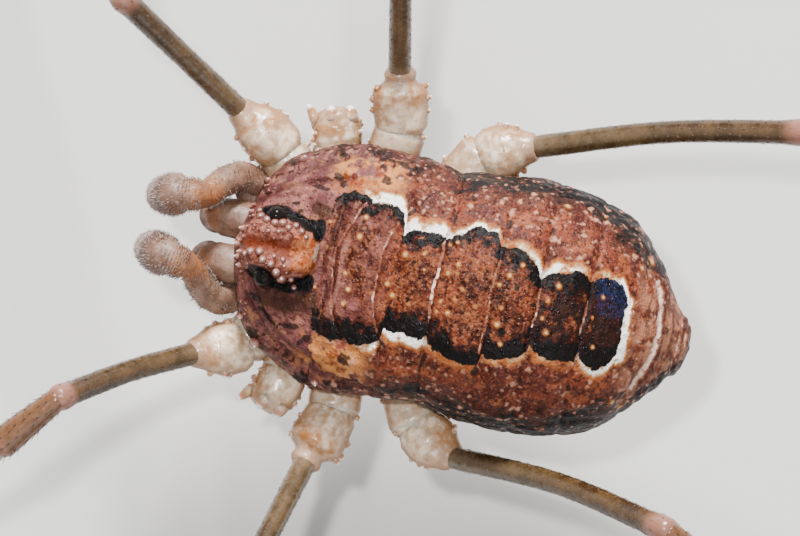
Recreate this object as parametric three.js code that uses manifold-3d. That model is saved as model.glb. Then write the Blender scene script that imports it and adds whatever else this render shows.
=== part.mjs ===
// A life-size harvestman standing on six legs, both second legs shed at the trochanter, in millimetres.
// It faces -Y with +Z up, so +X is its left side, and its tarsi lie on the plane z = 0.

import * as THREE from "three";
import { mergeVertices } from "three/addons/utils/BufferGeometryUtils.js";
import Module from "manifold-3d";

const wasm = await Module();
wasm.setup();

// Driving dimensions of the trunk
const FRONT = -3.47;
const TAIL = 3.55;
const WIDTH_STATIONS = [-3.47, -3.3, -3.0, -2.5, -2.0, -1.0, -0.4, 0.9, 2.0, 2.5, 3.0, 3.4, 3.55];
const HALF_WIDTHS = [0, 0.75, 1.3, 1.62, 1.84, 1.84, 1.78, 1.92, 1.74, 1.49, 0.95, 0.38, 0];
const HEIGHT_STATIONS = [-3.47, -3.25, -2.6, -1.6, -0.4, 0.9, 2.2, 3.0, 3.4, 3.55];
const BACK_HEIGHTS = [3.95, 4.28, 4.6, 4.98, 5.4, 5.55, 5.2, 4.6, 4.15, 3.9];
const BELLY_HEIGHTS = [3.85, 3.4, 3.12, 2.9, 2.5, 2.22, 2.45, 3.05, 3.5, 3.75];
const WIDEST_LEVEL = 0.47;
const SQUARENESS = 2.25;
const NECK_BACK = new THREE.Vector3(0, -2.05, 4.85);
const NECK_BELLY = new THREE.Vector3(0, -0.45, 2.5);
const GAP = 0.12;

// Driving dimensions of the eye mound
const MOUND = { x: -0.05, y: -2.76, z: 4.5, halfWidth: 0.52, halfLength: 0.6, height: 0.68 };
const MOUND_GROOVE = { depth: 0.1, halfWidth: 0.16 };
const EYE = { radius: 0.17, reach: 0.46, y: -2.93, z: 4.87 };
const TUBERCLE = { count: 8, first: -3.24, last: -2.4, reach: 0.33, radius: 0.065, length: 0.2 };

// Driving dimensions of the limbs
const FEMUR_RADIUS = 0.25;
const PATELLA_RADIUS = 0.26;
const TIBIA_RADIUS = 0.235;
const METATARSUS_RADIUS = 0.21;
const TARSUS_RADIUS = 0.19;
const TIP_RADIUS = 0.1;
const PATELLA_DIP = 12;
const TIBIA_DIP = 42;
const ANKLE_HEIGHT = 0.95;
const FLAT_SHARE = 0.8;
const SIDES = 10;

const LENGTHS = {
  1: { femur: 3.0, patella: 1.2, tibia: 2.7, metatarsus: 3.3, tarsus: 5.0 },
  3: { femur: 3.1, patella: 1.2, tibia: 2.8, metatarsus: 3.6, tarsus: 5.5 },
  4: { femur: 4.5, patella: 1.4, tibia: 3.6, metatarsus: 5.0, tarsus: 7.0 },
};

// Each leg: its root under the trunk, its hip, the end of its trochanter, its knee seen from above,
// how far its femur bows sideways, and the heading of the rest of the leg in degrees from +X.
const LEGS = [
  { name: "leg_1_right", pair: 1, root: [-0.45, -2.6], hip: [-1.5, -3.06], joint: [-1.93, -3.8],
    knee: [-3.2, -5.9], bow: 0.0, heading: -141 },
  { name: "leg_1_left", pair: 1, root: [0.45, -2.6], hip: [1.5, -3.0], joint: [1.76, -3.7],
    knee: [2.83, -5.5], bow: 0.05, heading: -39 },
  { name: "leg_2_right", pair: 2, root: [-0.38, -2.12], hip: [-1.74, -2.25], joint: [-2.2, -2.42] },
  { name: "leg_2_left", pair: 2, root: [0.38, -2.12], hip: [1.78, -2.3], joint: [2.27, -2.5] },
  { name: "leg_3_right", pair: 3, root: [-0.38, -1.62], hip: [-2.2, -1.4], joint: [-3.0, -1.6],
    knee: [-5.15, -2.06], bow: 0.0, heading: -166 },
  { name: "leg_3_left", pair: 3, root: [0.38, -1.62], hip: [2.2, -1.48], joint: [2.98, -1.72],
    knee: [5.1, -2.27], bow: 0.0, heading: -16 },
  { name: "leg_4_right", pair: 4, root: [-0.42, -1.1], hip: [-2.1, -0.1], joint: [-2.35, 0.56],
    knee: [-3.44, 4.55], bow: -0.12, heading: 116 },
  { name: "leg_4_left", pair: 4, root: [0.42, -1.1], hip: [2.15, -0.2], joint: [2.46, 0.38],
    knee: [2.78, 3.73], bow: -0.14, heading: 61 },
];
const ROOT_HEIGHT = 2.92;
const HIP_HEIGHT = 3.3;
const JOINT_HEIGHT = 3.52;
const COXA_RADII = [0.21, 0.35];
const TROCHANTER_RADII = [0.33, 0.4, 0.3];
const STUB_RADII = [0.32, 0.34, 0.26];
const DENTICLE = { count: 7, radius: 0.075, length: 0.2 };

// Each palp, given for the right side and mirrored: points along it, and its radii
const PALP = {
  femur: [[0.82, -3.12, 3.2], [0.99, -3.58, 3.55], [0.59, -4.07, 4.1]],
  tibia: [[0.59, -4.07, 4.1], [0.53, -4.4, 4.12], [0.47, -4.64, 3.72]],
  tarsus: [[0.47, -4.64, 3.72], [0.46, -4.68, 3.2], [0.44, -4.52, 2.6]],
};
const PALP_LEFT_SHIFT = -0.09;
const PALP_RADII = { femur: [0.21, 0.235], tibia: [0.235, 0.22], tarsus: [0.2, 0.1] };

// The jaws, for the right side and mirrored
const JAW = {
  base: [[0.33, -3.1, 3.5], [0.34, -3.5, 3.5], [0.34, -3.85, 3.42]],
  hand: [[0.34, -3.72, 3.5], [0.34, -3.84, 3.2], [0.32, -3.8, 2.75]],
  radius: 0.25,
  finger: { length: 0.55, radius: 0.11, spread: 0.1 },
};

const COLOURS = {
  trunk: 0x7d4632,
  mound: 0x8a4a2c,
  eye: 0x0a0807,
  pale: 0xc9a78c,
  leg: 0x74583f,
};

const UP = new THREE.Vector3(0, 0, 1);

// A smooth line through named heights or widths at named stations along the body
function profile(stations, values) {
  const line = new THREE.CubicInterpolant(stations, values, 1);
  return (y) => Math.max(0, line.evaluate(THREE.MathUtils.clamp(y, FRONT, TAIL))[0]);
}

const halfWidthAt = profile(WIDTH_STATIONS, HALF_WIDTHS);
const backAt = profile(HEIGHT_STATIONS, BACK_HEIGHTS);
const bellyAt = profile(HEIGHT_STATIONS, BELLY_HEIGHTS);

// The outside of the trunk: a ball whose rings take the width and heights of the body, larger by grow
function trunkShape(grow, around = 32, along = 26) {
  const shape = new THREE.SphereGeometry(1, around, along);
  const place = shape.attributes.position;
  for (let i = 0; i < place.count; i += 1) {
    const y = THREE.MathUtils.mapLinear(place.getY(i), -1, 1, FRONT, TAIL);
    const ring = Math.hypot(place.getX(i), place.getZ(i)) || 1;
    const across = place.getX(i) / ring;
    const up = place.getZ(i) / ring;
    const round = (v) => Math.sign(v) * Math.abs(v) ** (2 / SQUARENESS);
    const middle = THREE.MathUtils.lerp(bellyAt(y), backAt(y), WIDEST_LEVEL);
    const half = up > 0 ? backAt(y) - middle : middle - bellyAt(y);
    const swell = ring < 1e-6 || Math.abs(place.getY(i)) > 1 - 1e-6 ? 0 : 1;
    place.setXYZ(
      i,
      swell * round(across) * (halfWidthAt(y) + grow),
      y + grow * place.getY(i),
      middle + swell * round(up) * (half + grow),
    );
  }
  return shape;
}

// A closed geometry as a solid that can be joined and cut
function solid(shape) {
  const bare = shape.clone();
  bare.deleteAttribute("normal");
  bare.deleteAttribute("uv");
  const merged = mergeVertices(bare, 1e-5);
  const triangles = [];
  for (let i = 0; i < merged.index.count; i += 3) {
    const [a, b, c] = [0, 1, 2].map((k) => merged.index.getX(i + k));
    if (a !== b && b !== c && c !== a) {
      triangles.push(a, b, c);
    }
  }
  const mesh = new wasm.Mesh({
    numProp: 3,
    vertProperties: new Float32Array(merged.attributes.position.array),
    triVerts: new Uint32Array(triangles),
  });
  return new wasm.Manifold(mesh);
}

// The largest closed surface of a solid, as a geometry
function geometryOf(body) {
  const pieces = body.decompose().sort((a, b) => b.volume() - a.volume());
  const mesh = pieces[0].getMesh();
  const shape = new THREE.BufferGeometry();
  shape.setAttribute("position", new THREE.BufferAttribute(new Float32Array(mesh.vertProperties), 3));
  shape.setIndex(Array.from(mesh.triVerts));
  shape.computeVertexNormals();
  return shape;
}

// A round limb piece along a curve. Its ends are slid along it until they lie face to face with the
// neighbours, square to the given directions, each half a gap short of the joint.
function limb(curve, radiusAt, rings, startFace = null, endFace = null, sides = SIDES) {
  const shape = new THREE.CylinderGeometry(1, 1, 1, sides, rings);
  const place = shape.attributes.position;
  const frames = curve.computeFrenetFrames(rings);
  const points = curve.getSpacedPoints(rings);
  const faces = [
    { ring: 0, face: startFace, gap: GAP / 2 },
    { ring: rings, face: endFace, gap: -GAP / 2 },
  ];
  for (let i = 0; i < place.count; i += 1) {
    const x = place.getX(i);
    const z = place.getZ(i);
    const ring = Math.round((place.getY(i) + 0.5) * rings);
    const t = ring / rings;
    const onRing = (k) =>
      points[k]
        .clone()
        .addScaledVector(frames.normals[k], x * radiusAt(k / rings))
        .addScaledVector(frames.binormals[k], -z * radiusAt(k / rings));
    const spot = onRing(ring);
    for (const { ring: end, face, gap } of faces) {
      if (face) {
        const away = points[end].clone().addScaledVector(face, gap).sub(onRing(end)).dot(face);
        const fade = (1 - Math.abs(end / rings - t)) ** 2;
        spot.addScaledVector(frames.tangents[ring], (fade * away) / frames.tangents[end].dot(face));
      }
    }
    place.setXYZ(i, spot.x, spot.y, spot.z);
  }
  return shape;
}

// The direction half-way between two that meet at a joint
function between(a, b) {
  return a.clone().normalize().add(b.clone().normalize()).normalize();
}

// A thickness that runs evenly through the given radii from one end to the other
function taper(radii) {
  const last = radii.length - 1;
  return (t) => {
    const k = Math.min(Math.floor(t * last), last - 1);
    return THREE.MathUtils.lerp(radii[k], radii[k + 1], t * last - k);
  };
}

// A thickness that swells in the middle, as on a bead, between its two end radii
function bead([start, middle, end]) {
  return (t) => {
    const bulge = middle - (start + end) / 2;
    return THREE.MathUtils.lerp(start, end, t) + bulge * Math.sin(Math.PI * t);
  };
}

// A small pointed cone that stands on a surface, its root sunk into it
function spike(root, direction, length, radius) {
  const cone = new THREE.ConeGeometry(radius, length * 1.5, 5);
  const turn = new THREE.Quaternion().setFromUnitVectors(
    new THREE.Vector3(0, 1, 0),
    direction.clone().normalize(),
  );
  cone.applyQuaternion(turn);
  const middle = root.clone().addScaledVector(direction.clone().normalize(), length * 0.25);
  return solid(cone.translate(middle.x, middle.y, middle.z));
}

// A box that fills one side of a sloping plane
function halfSpace(point, normal, size = 40) {
  const box = new THREE.BoxGeometry(size, size, size);
  const turn = new THREE.Quaternion().setFromUnitVectors(UP, normal.clone().normalize());
  box.applyQuaternion(turn);
  const middle = point.clone().addScaledVector(normal.clone().normalize(), -size / 2);
  return solid(box.translate(middle.x, middle.y, middle.z));
}

// A named mesh whose own origin is at the given place
function node(group, name, shape, colour, origin) {
  const { x, y, z } = origin;
  const material = new THREE.MeshStandardMaterial({ color: colour, roughness: 0.55, metalness: 0 });
  const mesh = new THREE.Mesh(shape.translate(-x, -y, -z), material);
  mesh.name = name;
  mesh.position.copy(origin);
  group.add(mesh);
}

const trunk = solid(trunkShape(0));
const aroundTrunk = solid(trunkShape(GAP));

// The trunk, parted by a sloping cut behind the carapace above and behind the coxae below
function addTrunk(group) {
  const slope = NECK_BELLY.clone().sub(NECK_BACK);
  const behind = new THREE.Vector3(1, 0, 0).cross(slope).normalize();
  behind.multiplyScalar(Math.sign(behind.y));
  const front = halfSpace(NECK_BACK, behind);
  const frontAndGap = halfSpace(NECK_BACK.clone().addScaledVector(behind, GAP), behind);
  let prosoma = trunk.intersect(front);
  for (const [x, y] of [[-0.25, -3.34], [0.05, -3.4], [0.35, -3.32]]) {
    prosoma = prosoma.add(spike(new THREE.Vector3(x, y, backAt(y) - 0.05), new THREE.Vector3(0, -0.8, 1),
      0.14, 0.08));
  }
  node(group, "prosoma", geometryOf(prosoma), COLOURS.trunk, NECK_BACK);
  node(group, "opisthosoma", geometryOf(trunk.subtract(frontAndGap)), COLOURS.trunk, NECK_BACK);
}

// The height of the eye mound at a place seen from above, with the groove along its middle
function moundHeight(x, y) {
  const across = (x - MOUND.x) / MOUND.halfWidth;
  const along = (y - MOUND.y) / MOUND.halfLength;
  const dome = Math.sqrt(Math.max(0, 1 - across ** 2 - along ** 2));
  const groove = Math.exp(-(((x - MOUND.x) / MOUND_GROOVE.halfWidth) ** 2));
  return MOUND.z + dome * (MOUND.height - MOUND_GROOVE.depth * groove);
}

// The eye mound, with its eyes in sockets and two rows of pointed tubercles
function addMound(group) {
  const shape = new THREE.SphereGeometry(1, 20, 14);
  shape.rotateX(Math.PI / 2);
  const place = shape.attributes.position;
  for (let i = 0; i < place.count; i += 1) {
    const x = MOUND.x + MOUND.halfWidth * place.getX(i);
    const y = MOUND.y + MOUND.halfLength * place.getY(i);
    const low = MOUND.z + MOUND.height * place.getZ(i);
    place.setXYZ(i, x, y, place.getZ(i) > 0 ? moundHeight(x, y) : low);
  }
  let mound = solid(shape);
  for (const [name, side] of [["eye_right", -1], ["eye_left", 1]]) {
    const centre = new THREE.Vector3(MOUND.x + side * EYE.reach, EYE.y, EYE.z);
    const ball = (radius) =>
      new THREE.SphereGeometry(radius, 12, 8).translate(centre.x, centre.y, centre.z);
    mound = mound.subtract(solid(ball(EYE.radius + GAP / 2)));
    node(group, name, ball(EYE.radius), COLOURS.eye, centre);
    for (let k = 0; k < TUBERCLE.count; k += 1) {
      const share = k / (TUBERCLE.count - 1);
      const y = THREE.MathUtils.lerp(TUBERCLE.first, TUBERCLE.last, share);
      const x = MOUND.x + side * TUBERCLE.reach * (0.62 + 0.38 * Math.sin(Math.PI * share));
      const size = 0.8 + 0.3 * Math.sin(3 * k + side);
      const root = new THREE.Vector3(x, y, moundHeight(x, y));
      const lean = new THREE.Vector3(0.25 * side, 0.5 * (y - MOUND.y), 1);
      mound = mound.add(spike(root, lean, TUBERCLE.length * size, TUBERCLE.radius * size));
    }
  }
  mound = mound.subtract(aroundTrunk);
  node(group, "ocularium", geometryOf(mound), COLOURS.mound, new THREE.Vector3(MOUND.x, MOUND.y, MOUND.z));
}

// Points given for the right side, as a curve on the side asked for
function sided(points, side, shift = 0) {
  const spots = points.map(([x, y, z]) => new THREE.Vector3(side * x + shift, y, z));
  return new THREE.CatmullRomCurve3(spots);
}

// A jaw: a base, a hand that hangs down in front of the mouth, and its two fingers
function addJaw(group, name, side) {
  const base = sided(JAW.base, side);
  const hand = sided(JAW.hand, side);
  const thick = bead([JAW.radius * 0.85, JAW.radius, JAW.radius * 0.8]);
  let jaw = solid(limb(base, thick, 4)).add(solid(limb(hand, thick, 4)));
  const wrist = hand.getPoint(1);
  for (const way of [-1, 1]) {
    const down = new THREE.Vector3(0, way * JAW.finger.spread * 2, -1);
    const root = wrist.clone().add(new THREE.Vector3(0, way * JAW.finger.spread, 0));
    jaw = jaw.add(spike(root, down, JAW.finger.length, JAW.finger.radius));
  }
  node(group, name, geometryOf(jaw.subtract(aroundTrunk)), COLOURS.pale, base.getPoint(0));
}

// A palp in three pieces
function addPalp(group, name, side) {
  const shift = side > 0 ? PALP_LEFT_SHIFT : 0;
  const pieces = Object.keys(PALP).map((part) => ({ part, curve: sided(PALP[part], side, shift) }));
  pieces.forEach(({ part, curve }, k) => {
    const before = pieces[k - 1]?.curve.getTangent(1);
    const after = pieces[k + 1]?.curve.getTangent(0);
    const start = before ? between(before, curve.getTangent(0)) : null;
    const end = after ? between(curve.getTangent(1), after) : null;
    const shape = limb(curve, taper(PALP_RADII[part]), 4, start, end);
    const whole = part === "femur" ? geometryOf(solid(shape).subtract(aroundTrunk)) : shape;
    node(group, `${name}_${part}`, whole, COLOURS.pale, curve.getPoint(0));
  });
}

// The direction of a heading, dipping below the level by an angle, both in degrees
function dipping(heading, dip) {
  const turn = THREE.MathUtils.degToRad(heading);
  const fall = THREE.MathUtils.degToRad(dip);
  return new THREE.Vector3(
    Math.cos(turn) * Math.cos(fall),
    Math.sin(turn) * Math.cos(fall),
    -Math.sin(fall),
  );
}

// The centre lines of a leg's pieces, each from joint to joint
function centreLines(leg) {
  const root = new THREE.Vector3(...leg.root, ROOT_HEIGHT);
  const hip = new THREE.Vector3(...leg.hip, HIP_HEIGHT);
  const joint = new THREE.Vector3(...leg.joint, leg.knee ? JOINT_HEIGHT : HIP_HEIGHT + 0.08);
  const lines = {
    coxa: new THREE.LineCurve3(root, hip),
    trochanter: new THREE.LineCurve3(hip, joint),
  };
  if (!leg.knee) {
    return lines;
  }
  const length = LENGTHS[leg.pair];
  const span = Math.hypot(leg.knee[0] - joint.x, leg.knee[1] - joint.y);
  const rise = Math.sqrt(length.femur ** 2 - span ** 2);
  const knee = new THREE.Vector3(...leg.knee, joint.z + rise);
  const side = knee.clone().sub(joint).cross(UP).normalize();
  const middle = joint.clone().lerp(knee, 0.5).addScaledVector(side, leg.bow);
  lines.femur = new THREE.CatmullRomCurve3([joint, middle, knee]);
  const patellaEnd = knee.clone().addScaledVector(dipping(leg.heading, PATELLA_DIP), length.patella);
  const tibiaEnd = patellaEnd.clone().addScaledVector(dipping(leg.heading, TIBIA_DIP), length.tibia);
  const fall = THREE.MathUtils.radToDeg(Math.asin((tibiaEnd.z - ANKLE_HEIGHT) / length.metatarsus));
  const ankle = tibiaEnd.clone().addScaledVector(dipping(leg.heading, fall), length.metatarsus);
  const level = dipping(leg.heading, 0);
  const onFloor = (reach, height) => {
    const spot = ankle.clone().addScaledVector(level, reach * length.tarsus);
    return spot.setZ(height * FLAT_SHARE);
  };
  lines.patella = new THREE.LineCurve3(knee, patellaEnd);
  lines.tibia = new THREE.LineCurve3(patellaEnd, tibiaEnd);
  lines.metatarsus = new THREE.LineCurve3(tibiaEnd, ankle);
  lines.tarsus = new THREE.CatmullRomCurve3([
    ankle,
    onFloor(0.13, (ANKLE_HEIGHT * 0.42) / FLAT_SHARE),
    onFloor(0.32, TARSUS_RADIUS * 0.9),
    onFloor(0.62, TARSUS_RADIUS * 0.75),
    onFloor(0.96, TIP_RADIUS),
  ]);
  return lines;
}

// The small teeth along the front and back of a trochanter, and round the torn end of a shed one
function withDenticles(trochanter, line, radiusAt, torn) {
  const along = line.getTangent(0);
  const side = along.clone().cross(UP).normalize();
  let body = trochanter;
  for (let k = 0; k < DENTICLE.count; k += 1) {
    const t = torn ? 0.7 : 0.3 + 0.5 * ((k % 3) / 2);
    const turn = torn ? (2 * Math.PI * k) / DENTICLE.count : (k % 2) * Math.PI + 0.5 * Math.sin(5 * k);
    const out = side.clone().multiplyScalar(Math.cos(turn)).addScaledVector(UP, Math.sin(turn));
    const root = line.getPoint(t).addScaledVector(out, radiusAt(t) * 0.9);
    const lean = out.clone().addScaledVector(along, torn ? 1.2 : 0.4);
    const size = 0.85 + 0.3 * Math.sin(2 * k + 1);
    body = body.add(spike(root, lean, DENTICLE.length * size, DENTICLE.radius * size));
  }
  return body;
}

// A leg, from the coxa under the trunk to the tarsus on the floor
function addLeg(group, leg) {
  const lines = centreLines(leg);
  const parts = Object.keys(lines);
  const radii = {
    coxa: taper(COXA_RADII),
    trochanter: bead(leg.knee ? TROCHANTER_RADII : STUB_RADII),
    femur: taper([0.27, FEMUR_RADIUS, FEMUR_RADIUS, FEMUR_RADIUS, 0.27]),
    patella: taper([0.24, PATELLA_RADIUS, PATELLA_RADIUS]),
    tibia: taper([0.25, TIBIA_RADIUS, 0.24]),
    metatarsus: taper([METATARSUS_RADIUS, METATARSUS_RADIUS * 0.95]),
    tarsus: taper([TARSUS_RADIUS, TARSUS_RADIUS, TARSUS_RADIUS * 0.9, TARSUS_RADIUS * 0.75, TIP_RADIUS]),
  };
  const rings = { coxa: 3, trochanter: 4, femur: 5, patella: 2, tibia: 2, metatarsus: 2, tarsus: 10 };
  const floor = halfSpace(new THREE.Vector3(), UP);
  parts.forEach((part, k) => {
    const line = lines[part];
    const before = lines[parts[k - 1]]?.getTangent(1);
    const after = lines[parts[k + 1]]?.getTangent(0);
    const start = before ? between(before, line.getTangent(0)) : null;
    const end = after ? between(line.getTangent(1), after) : null;
    let shape = limb(line, radii[part], rings[part], start, end);
    if (part === "coxa") {
      shape = geometryOf(solid(shape).subtract(aroundTrunk));
    } else if (part === "trochanter") {
      const toothed = withDenticles(solid(shape), line, radii[part], !leg.knee);
      shape = geometryOf(toothed.subtract(aroundTrunk));
    } else if (part === "tarsus") {
      shape = geometryOf(solid(shape).subtract(floor));
    }
    node(group, `${leg.name}_${part}`, shape, k < 2 ? COLOURS.pale : COLOURS.leg, line.getPoint(0));
  });
}

// The harvestman, centred over its own footprint
function harvestman() {
  const animal = new THREE.Group();
  addTrunk(animal);
  addMound(animal);
  for (const [name, side] of [["right", -1], ["left", 1]]) {
    addJaw(animal, `chelicera_${name}`, side);
    addPalp(animal, `palp_${name}`, side);
  }
  for (const leg of LEGS) {
    const limbGroup = new THREE.Group();
    addLeg(limbGroup, leg);
    animal.add(limbGroup);
  }
  const middle = new THREE.Box3().setFromObject(animal).getCenter(new THREE.Vector3());
  animal.position.set(-middle.x, -middle.y, 0);
  const whole = new THREE.Group();
  whole.add(animal);
  return whole;
}

export default harvestman();
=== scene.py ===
"""A harvestman standing still, life size: its skin, markings, eyes, jaws, palps, legs and bristles.

Sizes are in millimetres in the animal's own frame: +X is its left side, +Y its tail, +Z up, and the
origin is on the floor under its middle line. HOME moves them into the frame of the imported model.
"""

import math

import bpy
import numpy as np
from mathutils import Matrix, Vector, noise


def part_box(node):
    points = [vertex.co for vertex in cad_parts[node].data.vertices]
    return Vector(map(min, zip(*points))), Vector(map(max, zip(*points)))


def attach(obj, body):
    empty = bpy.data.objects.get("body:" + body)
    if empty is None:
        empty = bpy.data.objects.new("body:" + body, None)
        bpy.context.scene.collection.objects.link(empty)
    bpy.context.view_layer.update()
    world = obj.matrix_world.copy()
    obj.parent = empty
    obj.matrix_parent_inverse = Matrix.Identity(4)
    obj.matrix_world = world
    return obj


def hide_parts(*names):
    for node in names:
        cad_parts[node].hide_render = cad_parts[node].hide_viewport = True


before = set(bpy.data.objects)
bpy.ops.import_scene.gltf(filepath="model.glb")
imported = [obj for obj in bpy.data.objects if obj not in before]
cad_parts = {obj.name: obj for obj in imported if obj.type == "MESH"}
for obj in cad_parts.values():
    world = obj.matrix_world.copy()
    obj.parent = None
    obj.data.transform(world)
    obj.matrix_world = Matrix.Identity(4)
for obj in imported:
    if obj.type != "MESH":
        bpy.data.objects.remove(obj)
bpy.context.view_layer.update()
rng = np.random.default_rng(7)

MM = 0.001

# The trunk's profile, as the solids have it
FRONT, TAIL = -3.47, 3.55
WIDTH_STATIONS = [
    -3.47, -3.3, -3.0, -2.5, -2.0, -1.0, -0.4, 0.9, 2.0, 2.5, 3.0, 3.3, 3.45, 3.53, 3.55
]
HALF_WIDTHS = [0, 0.75, 1.3, 1.62, 1.84, 1.84, 1.78, 1.92, 1.74, 1.49, 0.95, 0.52, 0.37, 0.2, 0]
HEIGHT_STATIONS = [-3.47, -3.25, -2.6, -1.6, -0.4, 0.9, 2.2, 3.0, 3.4, 3.52, 3.55]
BACK_HEIGHTS = [3.95, 4.28, 4.6, 4.98, 5.4, 5.55, 5.2, 4.6, 4.17, 3.98, 3.85]
BELLY_HEIGHTS = [3.85, 3.4, 3.12, 2.9, 2.5, 2.22, 2.45, 3.05, 3.48, 3.68, 3.8]
WIDEST_LEVEL = 0.47
SQUARENESS = 2.25
TAIL_SHIFT = 0.09
SKIN_RINGS, SKIN_AROUND = 400, 500

MOUND_X, MOUND_Y, MOUND_BASE = -0.05, -2.76, 4.5
MOUND_HALF_WIDTH, MOUND_HALF_LENGTH, MOUND_RISE = 0.5, 0.62, 0.68 * 0.93

abdomen_low, abdomen_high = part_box("opisthosoma")
HOME = Vector(((abdomen_low.x + abdomen_high.x) / 2, abdomen_high.y - TAIL * MM, 0)) / MM


def smooth(low, high, value):
    """0 below low, 1 above high and a smooth step between."""
    t = np.clip((np.asarray(value, float) - low) / (high - low), 0, 1)
    return t * t * (3 - 2 * t)


def hump(away, width):
    """1 where away is 0, falling softly to 0 over this width."""
    return np.exp(-((away / width) ** 2))


def profile(stations, values):
    """A smooth line through the values, its slope at each station the mean of those beside it."""
    s, v = np.array(stations, float), np.array(values, float)
    secant = np.diff(v) / np.diff(s)
    slope = np.concatenate([secant[:1], (secant[1:] + secant[:-1]) / 2, secant[-1:]])

    def line(y):
        y = np.clip(y, s[0], s[-1])
        i = np.clip(np.searchsorted(s, y, "right") - 1, 0, len(s) - 2)
        h = s[i + 1] - s[i]
        p = (y - s[i]) / h
        before = v[i] * (1 + 2 * p) * (1 - p) ** 2 + slope[i] * h * p * (1 - p) ** 2
        return before + v[i + 1] * p**2 * (3 - 2 * p) + slope[i + 1] * h * p**2 * (p - 1)

    return line


half_width_at = profile(WIDTH_STATIONS, HALF_WIDTHS)
back_at = profile(HEIGHT_STATIONS, BACK_HEIGHTS)
belly_at = profile(HEIGHT_STATIONS, BELLY_HEIGHTS)


def noise_at(points, scale, seed=0.0):
    """Smooth noise from about -1 to 1 at each point, with features 1 / scale apart."""
    flat = points.reshape(-1, 3) * scale + seed
    return np.array([noise.noise(p) for p in flat.tolist()]).reshape(points.shape[:-1])


def unit(vectors):
    """Each vector at length 1."""
    vectors = np.asarray(vectors, float)
    return vectors / np.maximum(np.linalg.norm(vectors, axis=-1, keepdims=True), 1e-12)


def circle(count):
    """The angles of evenly spaced points round a circle."""
    return 2 * math.pi * np.arange(count) / count


def ring_faces(count, around):
    """The faces of rings of points that are closed at each end by a point, given last."""
    first = np.arange(0, (count - 1) * around, around)[:, None]
    j = np.arange(around)
    after = (j + 1) % around
    quads = np.stack([first + j, first + after, first + around + after, first + around + j], -1)
    last = (count - 1) * around
    cap = np.full(around, count * around)
    start, end = np.stack([after, j, cap], -1), np.stack([last + j, last + after, cap + 1], -1)
    return quads.reshape(-1, 4).tolist() + start.tolist() + end.tolist()


def shell(rings, ends, **fields):
    """The points, faces and fields of rings of points closed by a point at each end."""
    count, around = rings.shape[:2]
    points = np.concatenate([rings.reshape(-1, 3), np.array(ends, float)])
    faces = ring_faces(count, around)
    a, b, c = np.moveaxis(points[np.array(faces[: (count - 1) * around])[:, :3]], 1, 0)
    out = a - np.repeat(rings.mean(1)[:-1], around, 0)
    if (out * np.cross(b - a, c - a)).sum() < 0:
        faces = [face[::-1] for face in faces]
    values = {
        key: np.append(field.reshape(-1), [field[0].mean(), field[-1].mean()])
        for key, field in fields.items()
    }
    return points, faces, values


def placed(name, data):
    """A new object in the scene that holds this data."""
    made = bpy.data.objects.new(name, data)
    bpy.context.scene.collection.objects.link(made)
    return made


def make_object(name, *shells):
    """One mesh object of shells in the animal's own frame. Fields called u and v are its map."""
    faces, start = [], 0
    for points, shell_faces, _ in shells:
        faces += [[k + start for k in face] for face in shell_faces]
        start += len(points)
    points = np.concatenate([points for points, _, _ in shells])
    mesh = bpy.data.meshes.new(name)
    mesh.from_pydata(((points + np.array(HOME)) * MM).tolist(), [], faces)
    fields = {
        key: np.concatenate([values[key] for _, _, values in shells]).astype(np.float32)
        for key in shells[0][2]
    }
    if "u" in fields:
        corner = np.empty(len(mesh.loops), np.int32)
        mesh.loops.foreach_get("vertex_index", corner)
        spread = np.stack([fields.pop("u")[corner], fields.pop("v")[corner]], -1)
        mesh.uv_layers.new(name="OFBake").data.foreach_set("uv", spread.reshape(-1))
    for key, value in fields.items():
        mesh.attributes.new(key, "FLOAT", "POINT").data.foreach_set("value", value)
    mesh.polygons.foreach_set("use_smooth", [True] * len(mesh.polygons))
    mesh.update()
    return placed(name, mesh)


def finished(piece, material, slot, *nodes):
    """Gives a piece its material and the root body, and hides the solids that it stands for; the
    slot is not used.
    """
    piece.data.materials.append(material)
    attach(piece, "root")
    if nodes:
        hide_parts(*nodes)


def reach(line):
    """How far along a line each of its points is."""
    return np.append(0, np.cumsum(np.linalg.norm(np.diff(line, axis=0), axis=1)))


def curve(points, step):
    """Evenly spaced points along a smooth line through these points."""
    points = np.array(points, float)
    at = reach(points)
    t = np.linspace(0, at[-1], max(int(at[-1] / step), 4) + 1)
    return np.stack([profile(at, points[:, k])(t) for k in range(3)], -1)


def frames_along(line):
    """The forward, upward and sideways directions at each point of a line, without twist."""
    forward = unit(np.gradient(line, axis=0))
    across = np.cross(forward[0], (0, 0, 1))
    across = unit(across if np.linalg.norm(across) > 0.05 else (1, 0, 0))
    sideways = []
    for direction in forward:
        across = unit(across - direction * np.dot(across, direction))
        sideways.append(across)
    sideways = np.array(sideways)
    return forward, np.cross(sideways, forward), sideways


def through(pairs, y):
    """A value read along straight lines between (y, value) pairs."""
    return np.interp(y, *zip(*pairs))


CAP_TILTS = np.radians([78, 55, 28])


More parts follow.
